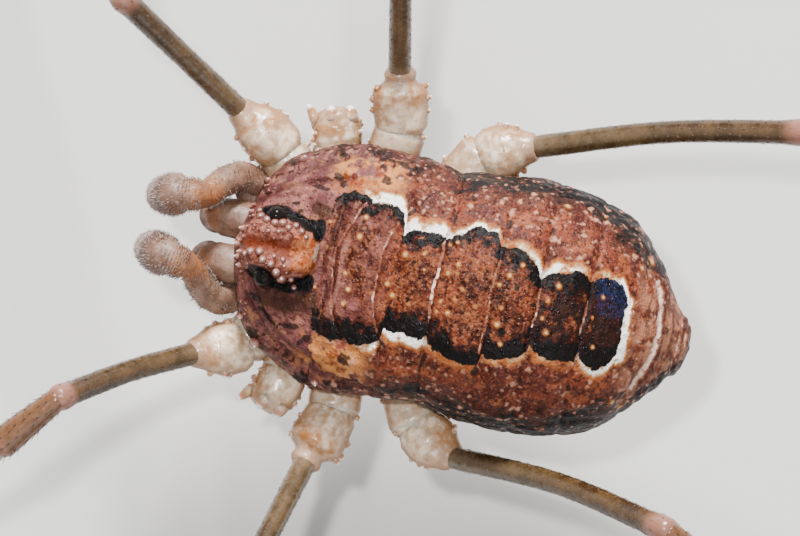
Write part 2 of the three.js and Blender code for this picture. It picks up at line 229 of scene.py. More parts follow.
def tube(line, outline, around, caps, rough=(), squash=1.0, swell=1.0):
    """Rings round a line with domed ends, their end points, and how far along and up each point is.

    The outline gives (share of the length, radius) pairs. Each (amount, scale, seed) of rough moves
    the rings in and out by noise.
    """
    radii = through(outline, np.linspace(0, 1, len(line))) * swell
    forward, upward, sideways = frames_along(line)
    dome = np.sin(CAP_TILTS)
    head = line[0] - forward[0] * (radii[0] * dome * caps[0])[:, None]
    tail = line[-1] + forward[-1] * (radii[-1] * dome[::-1] * caps[1])[:, None]
    narrow = np.cos(CAP_TILTS)
    radius = np.concatenate([radii[0] * narrow, radii, radii[-1] * narrow[::-1]])
    u, s = (np.concatenate([[way[0]] * 3, way, [way[-1]] * 3]) for way in (upward, sideways))
    along = reach(line)
    t = np.concatenate([[0] * 3, along / along[-1], [1] * 3])
    turn = circle(around)
    up = np.cos(turn)
    ring = u[:, None] * up[:, None] * squash + s[:, None] * np.sin(turn)[:, None]
    rings = np.concatenate([head, line, tail])[:, None] + ring * radius[:, None, None]
    for amount, scale, seed in rough:
        out = unit(rings - rings.mean(1, keepdims=True))
        rings = rings + out * (noise_at(rings, scale, seed) * amount)[..., None]
    ends = [line[0] - forward[0] * radii[0] * caps[0], line[-1] + forward[-1] * radii[-1] * caps[1]]
    return rings, ends, np.repeat(t[:, None], around, 1), np.repeat(up[None], len(t), 0)


PATCH_RADIUS = 0.0015


def spikes(roots, directions, lengths, radii, sides, outline, bend=0.0, patch=None):
    """Tapered spikes, all in one shell, with a field that is 1 at their tips."""
    roots, directions = np.asarray(roots, float), unit(directions)
    count = len(roots)
    lengths, radii = (np.broadcast_to(size, count).astype(float) for size in (lengths, radii))
    helper = np.where(np.abs(directions[:, 2:]) > 0.9, [[1.0, 0, 0]], [[0, 0, 1.0]])
    across = unit(np.cross(directions, helper))
    over = np.cross(directions, across)
    turn = circle(sides)
    spoke = across[:, None] * np.cos(turn)[:, None] + over[:, None] * np.sin(turn)[:, None]

    def centre(share):
        place = roots + directions * (lengths * share)[:, None]
        place[:, 2] -= bend * lengths * share**2
        return place[:, None]

    levels = [centre(share) + spoke * (radii * wide)[:, None, None] for share, wide in outline]
    body = np.concatenate([*levels, centre(0), centre(1)], 1)
    one, size = ring_faces(len(outline), sides), body.shape[1]
    faces = [[k + n * size for k in face] for n in range(count) for face in one]
    shares = np.append(np.repeat([share for share, _ in outline], sides), [0, 1])
    values = {"tip": np.tile(shares, count)}
    if patch is not None:
        for key, middle, wave in (("u", patch[:, :1], np.cos), ("v", patch[:, 1:], np.sin)):
            ring = np.append(np.tile(wave(turn), len(outline)), [0, 0])
            values[key] = (middle + PATCH_RADIUS * ring).reshape(-1)
    return body.reshape(-1, 3), faces, values


RICHNESS = 1.2
DEPTH = 0.44
DARKEST, LIGHTEST = 0.0015, 0.95


def colour(*screen):
    """A colour given as it looks on screen, from 0 to 255, deepened for the soft studio light."""
    linear = np.array([
        c / 12.92 if c <= 0.04045 else ((c + 0.055) / 1.055) ** 2.4 for c in np.divide(screen, 255)
    ])
    grey = linear @ (0.3, 0.59, 0.11)
    deep = (grey + (linear - grey) * RICHNESS) * DEPTH
    return tuple(float(c) for c in np.clip(deep, DARKEST, LIGHTEST))


class Shader:
    """A material built node by node. Positions are in millimetres in the animal's own frame.

    A colour with a number above 1 is given as it looks on screen, and any other one is linear.
    """

    def __init__(self, name):
        self.material = bpy.data.materials.new(name)
        self.material.use_nodes = True
        self.tree = self.material.node_tree
        place = self.node("TexCoord").outputs["Object"]
        place = self.vector("MULTIPLY", place, (1 / MM,) * 3)
        self.place = self.vector("SUBTRACT", place, tuple(HOME))

    def put(self, socket, value):
        if isinstance(value, bpy.types.NodeSocket):
            self.tree.links.new(value, socket)
        elif socket.type == "RGBA":
            socket.default_value = (*(colour(*value) if max(value) > 1 else value), 1.0)
        else:
            socket.default_value = value

    def node(self, kind, inputs=None, **settings):
        node = self.tree.nodes.new("ShaderNode" + kind)
        for key, value in settings.items():
            setattr(node, key, value)
        for key, value in (inputs or {}).items():
            self.put(node.inputs[key], value)
        return node

    def vector(self, operation, a, b):
        return self.node("VectorMath", {0: a, 1: b}, operation=operation).outputs["Vector"]

    def math(self, operation, a, b=0.0):
        return self.node("Math", {0: a, 1: b}, operation=operation).outputs[0]

    def times(self, total, *values):
        for value in values:
            total = self.math("MULTIPLY", total, value)
        return total

    def sum(self, total, *values):
        for value in values:
            total = self.math("ADD", total, value)
        return total

    def most(self, a, b):
        return self.math("MAXIMUM", a, b)

    def size(self, value):
        return self.math("ABSOLUTE", value)

    def scaled(self, value, by, plus):
        return self.sum(self.times(value, by), plus)

    def field(self, name):
        return self.node("Attribute", attribute_name=name).outputs["Fac"]

    def noise(self, scale, detail=3.0, stretch=(1, 1, 1)):
        place = self.vector("MULTIPLY", self.place, stretch)
        inputs = {"Vector": place, "Scale": scale, "Detail": detail, "Roughness": 0.55}
        return self.node("TexNoise", inputs).outputs[0]

    def cells(self, scale, wobble=0.0):
        """The distance from the middle of the nearest cell, and a random number for that cell."""
        warp = self.node("TexNoise", {"Scale": scale * 1.6, "Vector": self.place}).outputs["Color"]
        shift = self.vector("SUBTRACT", warp, (0.5,) * 3)
        shift = self.vector("MULTIPLY", shift, (wobble,) * 3)
        place = self.vector("ADD", self.place, shift)
        cell = self.node("TexVoronoi", {"Vector": place, "Scale": scale, "Randomness": 0.9})
        split = self.node("SeparateColor", {0: cell.outputs["Color"]})
        return cell.outputs["Distance"], split.outputs[0]

    def step(self, low, high, value, out_low=0.0, out_high=1.0):
        ends = {"From Min": low, "From Max": high, "To Min": out_low, "To Max": out_high}
        inputs = {"Value": value, **ends}
        return self.node("MapRange", inputs, interpolation_type="SMOOTHSTEP").outputs["Result"]

    def mix(self, factor, a, b):
        return self.node("Mix", {0: factor, 6: a, 7: b}, data_type="RGBA").outputs[2]

    def over(self, base, *layers):
        """Colours laid over a base, each as its value goes from low to high, this strongly."""
        for low, high, value, strength, tint in layers:
            cover = self.step(low, high, value)
            base = self.mix(cover if strength == 1 else self.times(cover, strength), base, tint)
        return base

    def bump(self, height, strength, distance):
        inputs = {"Height": height, "Strength": strength, "Distance": distance * MM}
        return self.node("Bump", inputs).outputs[0]

    def finish(self, **values):
        surface = self.tree.nodes["Principled BSDF"]
        for key, value in values.items():
            self.put(surface.inputs[key.replace("_", " ")], value)
        return self.material


def soft(weight, depth, green, blue):
    """How much light sinks into a surface, how deep, and how far green and blue go beside red."""
    return {"Subsurface_Weight": weight, "Subsurface_Scale": depth * MM,
            "Subsurface_Radius": (1.0, green, blue)}


# The saddle: the dark field along the back. Each segment has its front and rear along Y, its half
# widths right and left, the widths of its black margins right and left at its front and rear, and
# how dark its middle is.
SADDLE = [
    (-2.12, -1.58, [(-2.12, 1.05), (-1.9, 1.14), (-1.58, 1.15)],
     [(-2.12, 1.0), (-1.8, 1.07), (-1.58, 1.12)], (0.12, 0.2), (0.25, 0.35), 0.3),
    (-1.56, -1.04, [(-1.56, 1.1), (-1.2, 1.08), (-1.08, 1.0), (-1.04, 0.9)],
     [(-1.56, 1.1), (-1.2, 1.06), (-1.04, 1.0)], (0.15, 0.14), (0.3, 0.26), 0.25),
    (-1.02, -0.38, [(-1.02, 0.72), (-0.9, 0.78), (-0.38, 0.84)],
     [(-1.02, 0.8), (-0.7, 0.75), (-0.38, 0.83)], (0.17, 0.2), (0.34, 0.34), 0.35),
    (-0.33, 0.45, [(-0.33, 0.84), (-0.18, 0.88), (0.0, 1.02), (0.35, 1.03), (0.45, 0.88)],
     [(-0.33, 0.86), (0.05, 0.98), (0.45, 1.03)], (0.09, 0.2), (0.32, 0.2), 0.2),
    (0.5, 1.12, [(0.5, 0.88), (0.8, 0.82), (1.0, 0.68), (1.12, 0.54)],
     [(0.5, 0.87), (0.8, 0.82), (1.12, 0.7)], (0.16, 0.24), (0.42, 0.28), 0.5),
    (1.17, 1.86, [(1.17, 0.56), (1.35, 0.64), (1.7, 0.7), (1.86, 0.67)],
     [(1.17, 0.6), (1.5, 0.66), (1.86, 0.66)], (0.2, 0.3), (0.32, 0.36), 0.75),
    (1.91, 2.46, [(1.91, 0.7), (2.12, 0.72), (2.3, 0.66), (2.46, 0.5)],
     [(1.91, 0.54), (2.06, 0.66), (2.2, 0.68), (2.32, 0.58), (2.46, 0.42)], (0.4, 0.3),
     (0.42, 0.3), 0.86),
]
SADDLE_MIDDLE = 0.03
SADDLE_FRONT, LAST_SEGMENT, SADDLE_REAR = -2.12, 1.91, 2.46
# The lines between the plates: place along Y, how far the middle bows, strength, half span, width
LINES = [
    (-2.12, 0.02, 0.25, 0.95, 0.016), (-1.98, -0.04, 0.35, 1.0, 0.018),
    (-1.86, -0.12, 0.3, 1.0, 0.018), (-1.6, -0.36, 0.55, 1.08, 0.022),
    (-1.03, -0.26, 0.6, 1.0, 0.022), (-0.355, -0.06, 0.85, 0.92, 0.024),
    (0.475, -0.04, 0.6, 0.92, 0.024), (1.145, 0.0, 0.72, 0.74, 0.022),
    (1.885, 0.0, 0.72, 0.66, 0.02), (2.7, 0.32, 0.8, 0.85, 0.05), (2.98, 0.2, 0.3, 0.6, 0.02),
    (3.18, 0.18, 0.5, 0.48, 0.024), (3.34, 0.12, 0.45, 0.34, 0.02), (3.46, 0.05, 0.4, 0.25, 0.014),
]
LINE_DEPTH = 0.035
SEAM_WIDTH = 0.04
# The creases of the carapace, as (x, y) points
CREASES = [
    [(-0.685, -3.26), (-1.23, -2.73), (-1.57, -2.17), (-1.75, -1.7), (-1.8, -1.2)],
    [(-0.62, -3.34), (-0.93, -2.95), (-1.13, -2.5), (-1.32, -1.95)],
    [(0.51, -3.11), (1.08, -2.71), (1.41, -2.22), (1.71, -1.44), (1.78, -0.9)],
    [(0.75, -3.15), (1.3, -2.6), (1.6, -2.0), (1.74, -1.5)],
]
CREASE_DEPTH = 0.045
CREASE_HALF_WIDTH = 0.045
# The cream band right and left of the saddle: places along Y, its width and its brightness
BANDS = (
    ([-2.1, -1.5, -1.1, -0.4, -0.3, 0.1, 0.5, 0.9, 1.3, 1.8, 2.2, 2.5, 2.7],
     [0.1, 0.17, 0.22, 0.18, 0.11, 0.11, 0.12, 0.2, 0.22, 0.16, 0.14, 0.14, 0.1],
     [0.1, 0.85, 1.0, 1.0, 0.66, 0.88, 0.56, 0.58, 0.74, 0.52, 0.6, 1.0, 0.3]),
    ([-2.1, -1.5, -1.2, -1.0, -0.4, -0.3, 0.1, 0.5, 0.9, 1.5, 1.9, 2.3, 2.5],
     [0.1, 0.12, 0.13, 0.18, 0.16, 0.13, 0.12, 0.12, 0.17, 0.17, 0.16, 0.16, 0.14],
     [0.0, 0.3, 0.75, 0.86, 0.86, 0.42, 0.4, 0.42, 0.52, 0.44, 0.52, 0.75, 1.0]),
)
# Pale spots on the back: x, y, radius
PALE_SPOTS = [
    (-0.78, -1.62, 0.05), (-0.48, -1.65, 0.06), (0.1, -1.75, 0.05), (0.33, -1.66, 0.06),
    (0.55, -1.68, 0.05), (-0.36, -0.92, 0.06), (-0.43, -0.65, 0.035), (0.12, -1.1, 0.055),
    (0.27, -0.99, 0.06), (-0.2, -0.6, 0.03), (-0.39, -0.12, 0.055), (-0.23, -0.25, 0.05),
    (-0.71, -0.21, 0.035), (0.2, -0.27, 0.045), (0.35, -0.13, 0.055), (-0.39, 0.65, 0.055),
    (-0.58, 0.81, 0.045), (-0.23, 0.53, 0.045), (0.36, 0.62, 0.06), (0.63, 0.73, 0.045),
    (-0.4, 1.4, 0.055), (-0.15, 1.29, 0.045), (0.12, 1.26, 0.04), (0.32, 1.36, 0.055),
    (-0.38, 2.09, 0.04), (0.38, 2.09, 0.04), (-0.05, 2.0, 0.03), (-1.08, 2.7, 0.09),
    (-0.93, 2.56, 0.06), (1.19, 2.7, 0.08), (1.1, 2.54, 0.06), (-1.6, 1.87, 0.06),
    (-1.59, 1.28, 0.07), (-0.6, -2.13, 0.03), (0.4, -2.15, 0.03),
]
SPOT_SIZE = 0.84
# Dark blots of the back and of the mound, and painted shadows beside the eye mound: x, y, half
# length along Y, half width, turn
DARK_BLOTS = [
    (-1.07, -2.36, 0.17, 0.045, 6), (-1.3, -2.17, 0.09, 0.055, 35), (-1.2, -2.06, 0.08, 0.07, -20),
    (-1.37, -2.9, 0.17, 0.045, -28), (1.05, -2.38, 0.16, 0.05, -4), (1.2, -2.12, 0.16, 0.075, -45),
    (1.36, -2.92, 0.19, 0.06, 38), (-0.76, -2.7, 0.07, 0.03, -20), (-0.66, -2.6, 0.06, 0.03, -30),
    (-1.38, -1.43, 0.09, 0.06, 60), (1.36, -1.5, 0.09, 0.1, -20), (-0.85, -3.17, 0.07, 0.05, 0),
    (-1.66, -1.25, 0.16, 0.04, 8), (1.67, -1.35, 0.16, 0.045, -6), (-1.15, 0.48, 0.05, 0.08, 0),
    (-1.08, -0.33, 0.03, 0.12, -10), (1.15, -0.35, 0.03, 0.13, 6), (1.12, 0.45, 0.05, 0.09, 0),
    (-1.02, -0.97, 0.04, 0.08, 45), (0.99, -1.0, 0.04, 0.1, -50), (-1.2, 1.15, 0.03, 0.05, 0),
    (1.1, 1.14, 0.035, 0.06, 0), (1.25, 1.15, 0.03, 0.04, 0), (-1.1, 1.85, 0.03, 0.05, 0),
    (1.05, 1.87, 0.035, 0.05, 0), (1.3, 1.88, 0.03, 0.04, 0), (-0.95, 1.2, 0.02, 0.03, 0),
    (-1.28, 1.9, 0.03, 0.04, 0), (0.75, -3.0, 0.12, 0.05, 30), (1.0, -2.75, 0.2, 0.05, 35),
]
MOUND_BLOTS = [
    (-0.57, -2.93, 0.24, 0.11, -8), (-0.54, -2.62, 0.2, 0.08, 14), (-0.48, -2.4, 0.16, 0.09, 0),
    (-0.44, -2.26, 0.09, 0.17, 0), (0.4, -2.98, 0.24, 0.11, 14), (0.48, -2.66, 0.26, 0.09, 8),
    (0.42, -2.4, 0.14, 0.1, 0), (0.38, -2.27, 0.09, 0.13, 0),
]
# Painted shadows: dark brown patches on the skin beside the eye mound, where its shadow falls
PAINTED_SHADOWS = [(0.7, -2.66, 0.38, 0.2, 12), (0.62, -2.25, 0.2, 0.25, 0), (-0.75, -2.3, 0.2, 0.12, 10)]


def saddle_fields(x, y):
    """How far inside the saddle's edge each place is, how black its margin is, and its middle."""
    inside, black, dark = np.full(x.shape, -9.0), np.zeros(x.shape), np.zeros(x.shape)
    side = x - SADDLE_MIDDLE
    right, off = side < 0, np.abs(side)
    for k, (start, end, *widths, right_margin, left_margin, darkness) in enumerate(SADDLE):
        low = start if k == 0 else (SADDLE[k - 1][1] + start) / 2
        high = end if end == SADDLE_REAR else (end + SADDLE[k + 1][0]) / 2
        here = (y >= low) & (y < high)
        width = np.where(right, *(through(pairs, y) for pairs in widths))
        width = width - 0.055 * (hump(y - start, 0.05) + hump(y - end, 0.06))
        margins = (np.interp(y, (start, end), margin) for margin in (right_margin, left_margin))
        inside = np.where(here, width - off, inside)
        black = np.where(here, np.where(right, *margins) - (width - off), black)
        dark = np.where(here, darkness, dark)
    rear, front = SADDLE_REAR - y, y - SADDLE_FRONT
    corner = np.hypot(np.maximum(off - 0.42, 0), rear)
    inside = np.where(front < 0, np.minimum(front, 1.0 - off), inside)
    inside = np.where(rear < 0, -corner, np.minimum(inside, np.minimum(rear, front)))
    return inside, np.maximum(black, np.where(y > LAST_SEGMENT, 0.1 - rear, -1)), dark


def lines_at(x, y):
    """How strong a pale line is at each place, its seam's depth and the painted shadow just behind
    it.
    """
    pale, seam, groove = np.zeros((3, *x.shape))
    for k, (at, bow, strength, span, wide) in enumerate(LINES):
        crinkle = 0.012 * np.sin(7 * x + 2 * k) + 0.006 * np.sin(19 * x + k)
        crinkle = crinkle + 0.005 * np.sin(47 * x + 3 * k)
        away = y - (at + bow * np.clip(1 - (x / 1.1) ** 2, 0, 1) + crinkle)
        shown = smooth(span + 0.12, span - 0.05, np.abs(x - SADDLE_MIDDLE))
        pale = np.maximum(pale, hump(away, wide) * strength * shown)
        seam = np.maximum(seam, hump(away, SEAM_WIDTH) * (0.35 + 0.65 * strength))
        # The groove is a painted shadow: a thin band just behind each line
        groove = np.maximum(groove, hump(away - wide - 0.025, 0.026) * shown)
    return pale, seam, groove


def crease_at(x, y):
    """A soft line of height 1 along each crease of the carapace."""
    near = np.full(x.shape, 9.0)
    for path in CREASES:
        line = curve([(px, py, 0) for px, py in path], 0.05)[:, :2]
        for (ax, ay), (bx, by) in zip(line[:-1], line[1:]):
            dx, dy = bx - ax, by - ay
            t = np.clip(((x - ax) * dx + (y - ay) * dy) / (dx * dx + dy * dy), 0, 1)
            near = np.minimum(near, np.hypot(x - ax - t * dx, y - ay - t * dy))
    return hump(near, CREASE_HALF_WIDTH)


def spots_at(grid, spots):
    """A soft dot of height 1 at each spot, round on the surface itself."""
    dots = [
        hump(np.linalg.norm(grid - on_back(x, y), axis=-1), radius * SPOT_SIZE)
        for x, y, radius in spots
    ]
    return np.max(dots, 0)


def blots_at(x, y, blots):
    """A soft, turned oval of height 1 at each blot."""
    total = np.zeros(x.shape)
    for bx, by, length, width, degrees in blots:
        c, s = math.cos(math.radians(degrees)), math.sin(math.radians(degrees))
        along, across = (y - by) * c + (x - bx) * s, (x - bx) * c - (y - by) * s
        total = np.maximum(total, np.exp(-((along / length) ** 2 + (across / width) ** 2)))
    return total


def band_at(x, y, inside, upward):
    """How creamy the band round the saddle is."""
    wide, bright = (
        np.where(x < 0, *(np.interp(y, band[0], band[k]) for band in BANDS)) for k in (1, 2)
    )
    fade = np.exp(-((np.maximum(-inside, 0) / wide) ** 2.4))
    return fade * bright * smooth(-2.05, -1.6, y) * upward


def trunk_grid(along, around):
    """The trunk's bare surface: rings from front to tail, each from the back round by its left."""
    t = (np.arange(1, along + 1)) / (along + 1)
    y = FRONT + (TAIL - FRONT) * (0.45 * t + 0.55 * (1 - np.cos(math.pi * t)) / 2)
    waves = (wave(circle(around)) for wave in (np.sin, np.cos))
    across, up = (np.sign(wave) * np.abs(wave) ** (2 / SQUARENESS) for wave in waves)
    back, belly = back_at(y), belly_at(y)
    middle = belly + WIDEST_LEVEL * (back - belly)
    rise = np.where(up > 0, (back - middle)[:, None] * up, (middle - belly)[:, None] * up)
    shift = TAIL_SHIFT * smooth(2.85, 3.25, y)
    flat = half_width_at(y)[:, None] * across + shift[:, None]
    return np.stack([flat, np.repeat(y[:, None], around, 1), middle[:, None] + rise], -1)


def mound_dome(x, y):
    """How far up the eye mound a place is, from 0 off it to 1 at its middle."""
    across = np.abs((x - MOUND_X) / MOUND_HALF_WIDTH)
    along = np.abs((y - MOUND_Y) / MOUND_HALF_LENGTH)
    return np.clip(1 - across**2.4 - along**2.6, 0, 1) ** 0.45


def mound_height(x, y):
    """The height of the eye mound, with a groove along its middle between two crests."""
    groove = hump(x - MOUND_X, 0.15) * smooth(-2.2, -2.6, y)
    crest = hump(np.abs(x - MOUND_X) - 0.3, 0.12)
    return MOUND_BASE + mound_dome(x, y) * (MOUND_RISE - 0.13 * groove + 0.04 * crest)


def on_back(x, y):
    """The point of the back, or of the eye mound, above a place."""
    width = max(half_width_at(y), 0.05)
    back, belly = back_at(y), belly_at(y)
    middle = belly + WIDEST_LEVEL * (back - belly)
    rise = max(1 - abs(x / width) ** SQUARENESS, 0) ** (1 / SQUARENESS)
    z = middle + (back - middle) * rise
    return np.array([x, y, max(z, float(mound_height(x, y))) if mound_dome(x, y) > 0 else z])


def grid_normals(grid):
    """The outward direction at each point of rings of points."""
    out = unit(np.cross(np.roll(grid, -1, 1) - np.roll(grid, 1, 1), np.gradient(grid, axis=0)))
    return out * np.sign(((grid - grid.mean(1, keepdims=True)) * out).sum())


def make_trunk():
    """The skin of the whole trunk, with its plates, folds, eye mound and the fields of its markings
    and its painted shadows.
    """
    grid = trunk_grid(SKIN_RINGS, SKIN_AROUND)
    upward = smooth(-0.15, 0.25, grid_normals(grid)[..., 2])
    x, y, z = np.moveaxis(grid.copy(), -1, 0)
    on_dome = mound_dome(x, y) * upward > 0
    raised = np.maximum(np.where(on_dome, mound_height(x, y), z) - z, 0) * (upward > 0.5)
    grid[..., 2] = z + raised
    out = grid_normals(grid)
    mound = smooth(0.0, 0.08, raised)
    bare = 1 - mound
    inside, black, dark = saddle_fields(x, y)
    pale_line, seam, groove = lines_at(x, y)
    crease = crease_at(x, y) * upward
    edge = np.abs(x) / np.maximum(half_width_at(y), 0.05)
    belly = smooth(0.1, -0.5, out[..., 2])
    spots = spots_at(grid, PALE_SPOTS)

    lumps = ((1.6, 0.0, 0.03), (4.5, 5.0, 0.016), (11.0, 3.0, 0.008))
    lift = sum(noise_at(grid, scale, seed) * high for scale, seed, high in lumps)
    lift *= 1 - 0.75 * mound
    folds = noise_at(grid * (1.0, 0.3, 1.0), 5.5, 9.0)
    lift += 0.045 * folds * smooth(0.5, 0.8, edge) * smooth(3.2, 2.2, np.abs(y + 0.2)) * bare
    cross_folds = noise_at(grid * (0.22, 1.0, 0.5), 9.0, 4.0)
    cross_zone = smooth(-2.25, -2.1, y) * smooth(-1.5, -1.75, y) * smooth(1.25, 1.0, np.abs(x))
    cross_zone = cross_zone * upward
    lift += 0.035 * cross_folds * (cross_zone + 0.6 * smooth(2.5, 2.9, y))
    bulge = np.cos(2 * math.pi * (y + 0.355) / 0.79)
    lift -= 0.014 * bulge * smooth(-1.6, -0.9, y) * smooth(3.4, 2.6, y) * upward
    lift -= LINE_DEPTH * seam * bare * (0.4 + 0.6 * np.maximum(upward, belly))
    lift += 0.02 * spots - CREASE_DEPTH * crease * bare
    grid = grid + out * lift[..., None]

    ends = [(0, FRONT, grid[0, :, 2].mean()), (TAIL_SHIFT, TAIL, grid[-1, :, 2].mean())]
    skin = shell(
        grid, ends, inside=inside * upward - 3 * (1 - upward), black=black, dark=dark,
        line=pale_line * upward, groove=groove * upward, crease=crease, spot=spots,
        fold=cross_folds * cross_zone, blot=blots_at(x, y, DARK_BLOTS) * upward,
        mound_blot=blots_at(x, y, MOUND_BLOTS) * upward, shade=blots_at(x, y, PAINTED_SHADOWS) * upward,
        band=band_at(x, y, inside, upward), edge=edge, belly=belly, mound=mound, along=y, side=x,
    )
    trunk = make_object("trunk_skin", skin)
    finished(trunk, trunk_material(), "trunk", "prosoma", "opisthosoma", "ocularium")


def trunk_material():
    """Brown saddle with black margins and a cream edge, on mauve-brown flanks with pale specks."""
    s = Shader("trunk_skin")
    along, side, edge, fold = (s.field(name) for name in ("along", "side", "edge", "fold"))
    broad, coarse, middle = s.noise(0.9), s.noise(2.2, 5), s.noise(4.5, 5)
    fine, speckle, grain = s.noise(12.0, 4), s.noise(22.0, 4), s.noise(34.0, 2)
    rough_edge = s.sum(s.scaled(middle, 0.2, -0.1), s.scaled(fine, 0.16, -0.08))
    tail = s.step(2.5, 2.75, along)

    # The flanks, with a mauve front whose lilac tint is partly a painted sheen, amber patches
    # behind it and specks
    front = s.over(
        (126, 78, 78),
        (0.4, 0.6, coarse, 1, (186, 126, 118)),
        (0.52, 0.64, middle, 0.7, (222, 158, 126)),
        (0.48, 0.36, fine, 0.7, (92, 48, 42)),
    )
    amber = s.times(s.step(-2.4, -2.0, along), s.step(-1.0, -1.4, along), s.step(0.55, 0.66, edge),
                    s.step(0.96, 0.86, edge))
    flank = s.over(
        (90, 42, 34),
        (0.38, 0.6, coarse, 1, (148, 78, 60)),
        (0.5, 0.62, broad, 0.35, (126, 72, 66)),
        (0.52, 0.64, middle, 0.65, (196, 118, 88)),
        (0.5, 0.38, fine, 0.85, (66, 30, 24)),
        (0.52, 0.66, speckle, 0.45, (210, 136, 106)),
        (-0.9, -1.7, along, 0.9, front),
        (0.4, 0.52, middle, amber, (250, 172, 116)),
        (0.5, 0.6, coarse, s.times(amber, 0.85), (160, 72, 42)),
        (0.4, 0.56, middle, s.times(tail, 0.75), (222, 158, 130)),
        (0.54, 0.62, s.noise(5.5, 3, (0.5, 1.6, 1)), s.times(tail, 0.7), (118, 66, 52)),
    )
    big, big_chance = s.cells(5.0, 0.16)
    small, small_chance = s.cells(9.0, 0.08)
    speck = s.most(
        s.times(s.step(0.34, 0.12, big), s.step(0.4, 0.55, big_chance)),
        s.times(s.step(0.4, 0.1, small), s.step(0.3, 0.45, small_chance), 0.85),
    )
    pale = s.times(speck, s.scaled(s.step(-2.0, -1.4, along), 0.6, 0.3))
    flank = s.mix(pale, flank, (240, 184, 158))

    # The dark rim low on the flanks, and the cream band round the saddle
    rim = s.times(s.step(0.6, 1.0, edge), s.scaled(s.step(-1.2, 0.8, along), 0.34, 0.42))
    streak = s.times(s.step(1.7, 2.4, along), s.step(2.95, 2.6, along), s.step(0.56, 0.8, edge),
                     0.7)
    dusk = s.sum(s.most(rim, streak), s.scaled(coarse, 1.6, -0.8), s.scaled(fine, 0.9, -0.45),
                 s.times(speck, -0.5))
    band = s.times(s.field("band"), s.step(0.34, 0.56, middle, 0.72, 1.12))
    creamy = s.sum(band, s.times(rough_edge, 2.4))
    base = s.over(
        flank,
        (0.3, 0.5, dusk, 1, (70, 38, 30)),
        (0.48, 0.64, dusk, 1, (24, 17, 17)),
        (0.4, 0.6, dusk, s.times(speck, 0.75), (216, 150, 130)),
        (0.16, 0.46, creamy, 1, (206, 128, 86)),
        (0.42, 0.62, creamy, 1, (250, 204, 160)),
        (0.58, 0.78, creamy, 1, (0.96, 0.9, 0.82)),
    )

    # The saddle, with its black margins, painted light and shade on the folds of its front plates,
    # and the blue sheen at its rear
    saddle = s.step(-0.012, 0.012, s.sum(s.field("inside"), s.times(rough_edge, 0.85)))
    dot, dot_chance = s.cells(5.2, 0.06)
    # Mauve of the front plates: the skin's own tone, its lilac tint partly a painted sheen
    mauve = s.over((94, 54, 54), (0.4, 0.6, middle, 1, (168, 112, 106)))
    dark = s.sum(s.field("dark"), s.scaled(middle, 1.8, -1.02), s.scaled(fine, 0.6, -0.3))
    margin = s.sum(s.field("black"), s.times(rough_edge, 1.8), s.scaled(s.noise(6.5), 0.8, -0.4))
    sheen = s.times(s.step(2.02, 2.14, s.sum(along, s.times(side, -0.2))),
                    s.step(-0.05, -0.2, side), s.step(0.4, 0.6, grain), 0.7)
    brown = s.over(
        (80, 34, 22),
        (0.36, 0.6, coarse, 1, (136, 70, 50)),
        (0.5, 0.64, middle, 0.75, (178, 106, 78)),
        (0.5, 0.38, fine, 0.9, (48, 19, 13)),
        (0.52, 0.66, fine, 0.45, (196, 126, 96)),
        (0.52, 0.68, speckle, 0.5, (214, 150, 118)),
        (0.46, 0.34, speckle, 0.45, (50, 21, 15)),
        (0.3, 0.02, dot, s.times(s.step(0.45, 0.65, dot_chance), 0.8), (244, 176, 116)),
        (0.35, 0.6, coarse, s.times(s.step(-0.95, -1.6, along), 0.8), mauve),
        # Painted light and shade: paler on the crests of the folds of the front plates, darker in
        # their troughs
        (0.12, 0.45, fold, 0.55, (196, 140, 126)),
        (-0.1, -0.4, fold, 0.75, (58, 28, 26)),
        (0.42, 0.6, dark, 0.92, (26, 15, 10)),
        (-0.12, 0.0, margin, 1, (62, 26, 15)),
        (-0.03, 0.05, margin, 1, (19, 12, 10)),
        (0.36, 0.5, fine, sheen, (48, 58, 104)),
    )
    base = s.mix(saddle, base, brown)

    # The lines between the plates, each with a painted shadow behind it, the creases, the painted
    # shadows beside the eye mound, the blots and the spots
    # Painted shadow: a thin dark band just behind each line between the plates
    groove = s.times(s.field("groove"), s.step(0.3, 0.55, fine), s.scaled(tail, 0.4, 0.45))
    base = s.mix(groove, base, (70, 36, 30))
    beads = s.most(s.step(0.5, 0.62, s.noise(8.0, 3, (1, 0.5, 0.5))),
                   s.times(tail, s.step(0.36, 0.5, fine)))
    clear = s.scaled(s.times(saddle, s.step(-0.02, 0.08, margin)), -0.75, 1.0)
    line = s.times(s.field("line"), clear)
    line = s.sum(line, s.scaled(fine, 0.7, -0.35), s.times(line, s.scaled(middle, 1.4, -0.7)))
    bright = s.times(beads, s.scaled(tail, -0.25, 0.9))
    base = s.over(
        base,
        (0.15, 0.6, line, 0.75, (180, 118, 98)),
        (0.35, 0.75, line, bright, (0.86, 0.66, 0.52)),
    )
    base = s.mix(s.times(s.field("crease"), 0.55), base, (90, 54, 52))
    # Painted shadow beside the eye mound, laid on as dark brown
    shade = s.sum(s.field("shade"), s.scaled(middle, 0.6, -0.3))
    blot = s.sum(s.field("blot"), s.scaled(fine, 1.7, -0.85), s.scaled(middle, 1.2, -0.6))
    spot = s.sum(s.field("spot"), s.times(rough_edge, 0.5))
    base = s.over(
        base,
        (0.2, 0.75, shade, 0.85, (56, 30, 18)),
        (0.34, 0.6, blot, 0.88, (44, 30, 30)),
        (0.05, 0.6, spot, 0.8, (206, 128, 78)),
        (0.4, 0.98, spot, 1, (255, 220, 170)),
    )
    base = mound_colours(s, base, along, side, fine, rough_edge)
    under = s.over(
        (170, 132, 104),
        (0.4, 0.62, middle, 1, (208, 178, 148)),
        (0.5, 0.36, fine, 0.5, (126, 88, 66)),
    )
    base = s.mix(s.field("belly"), base, under)

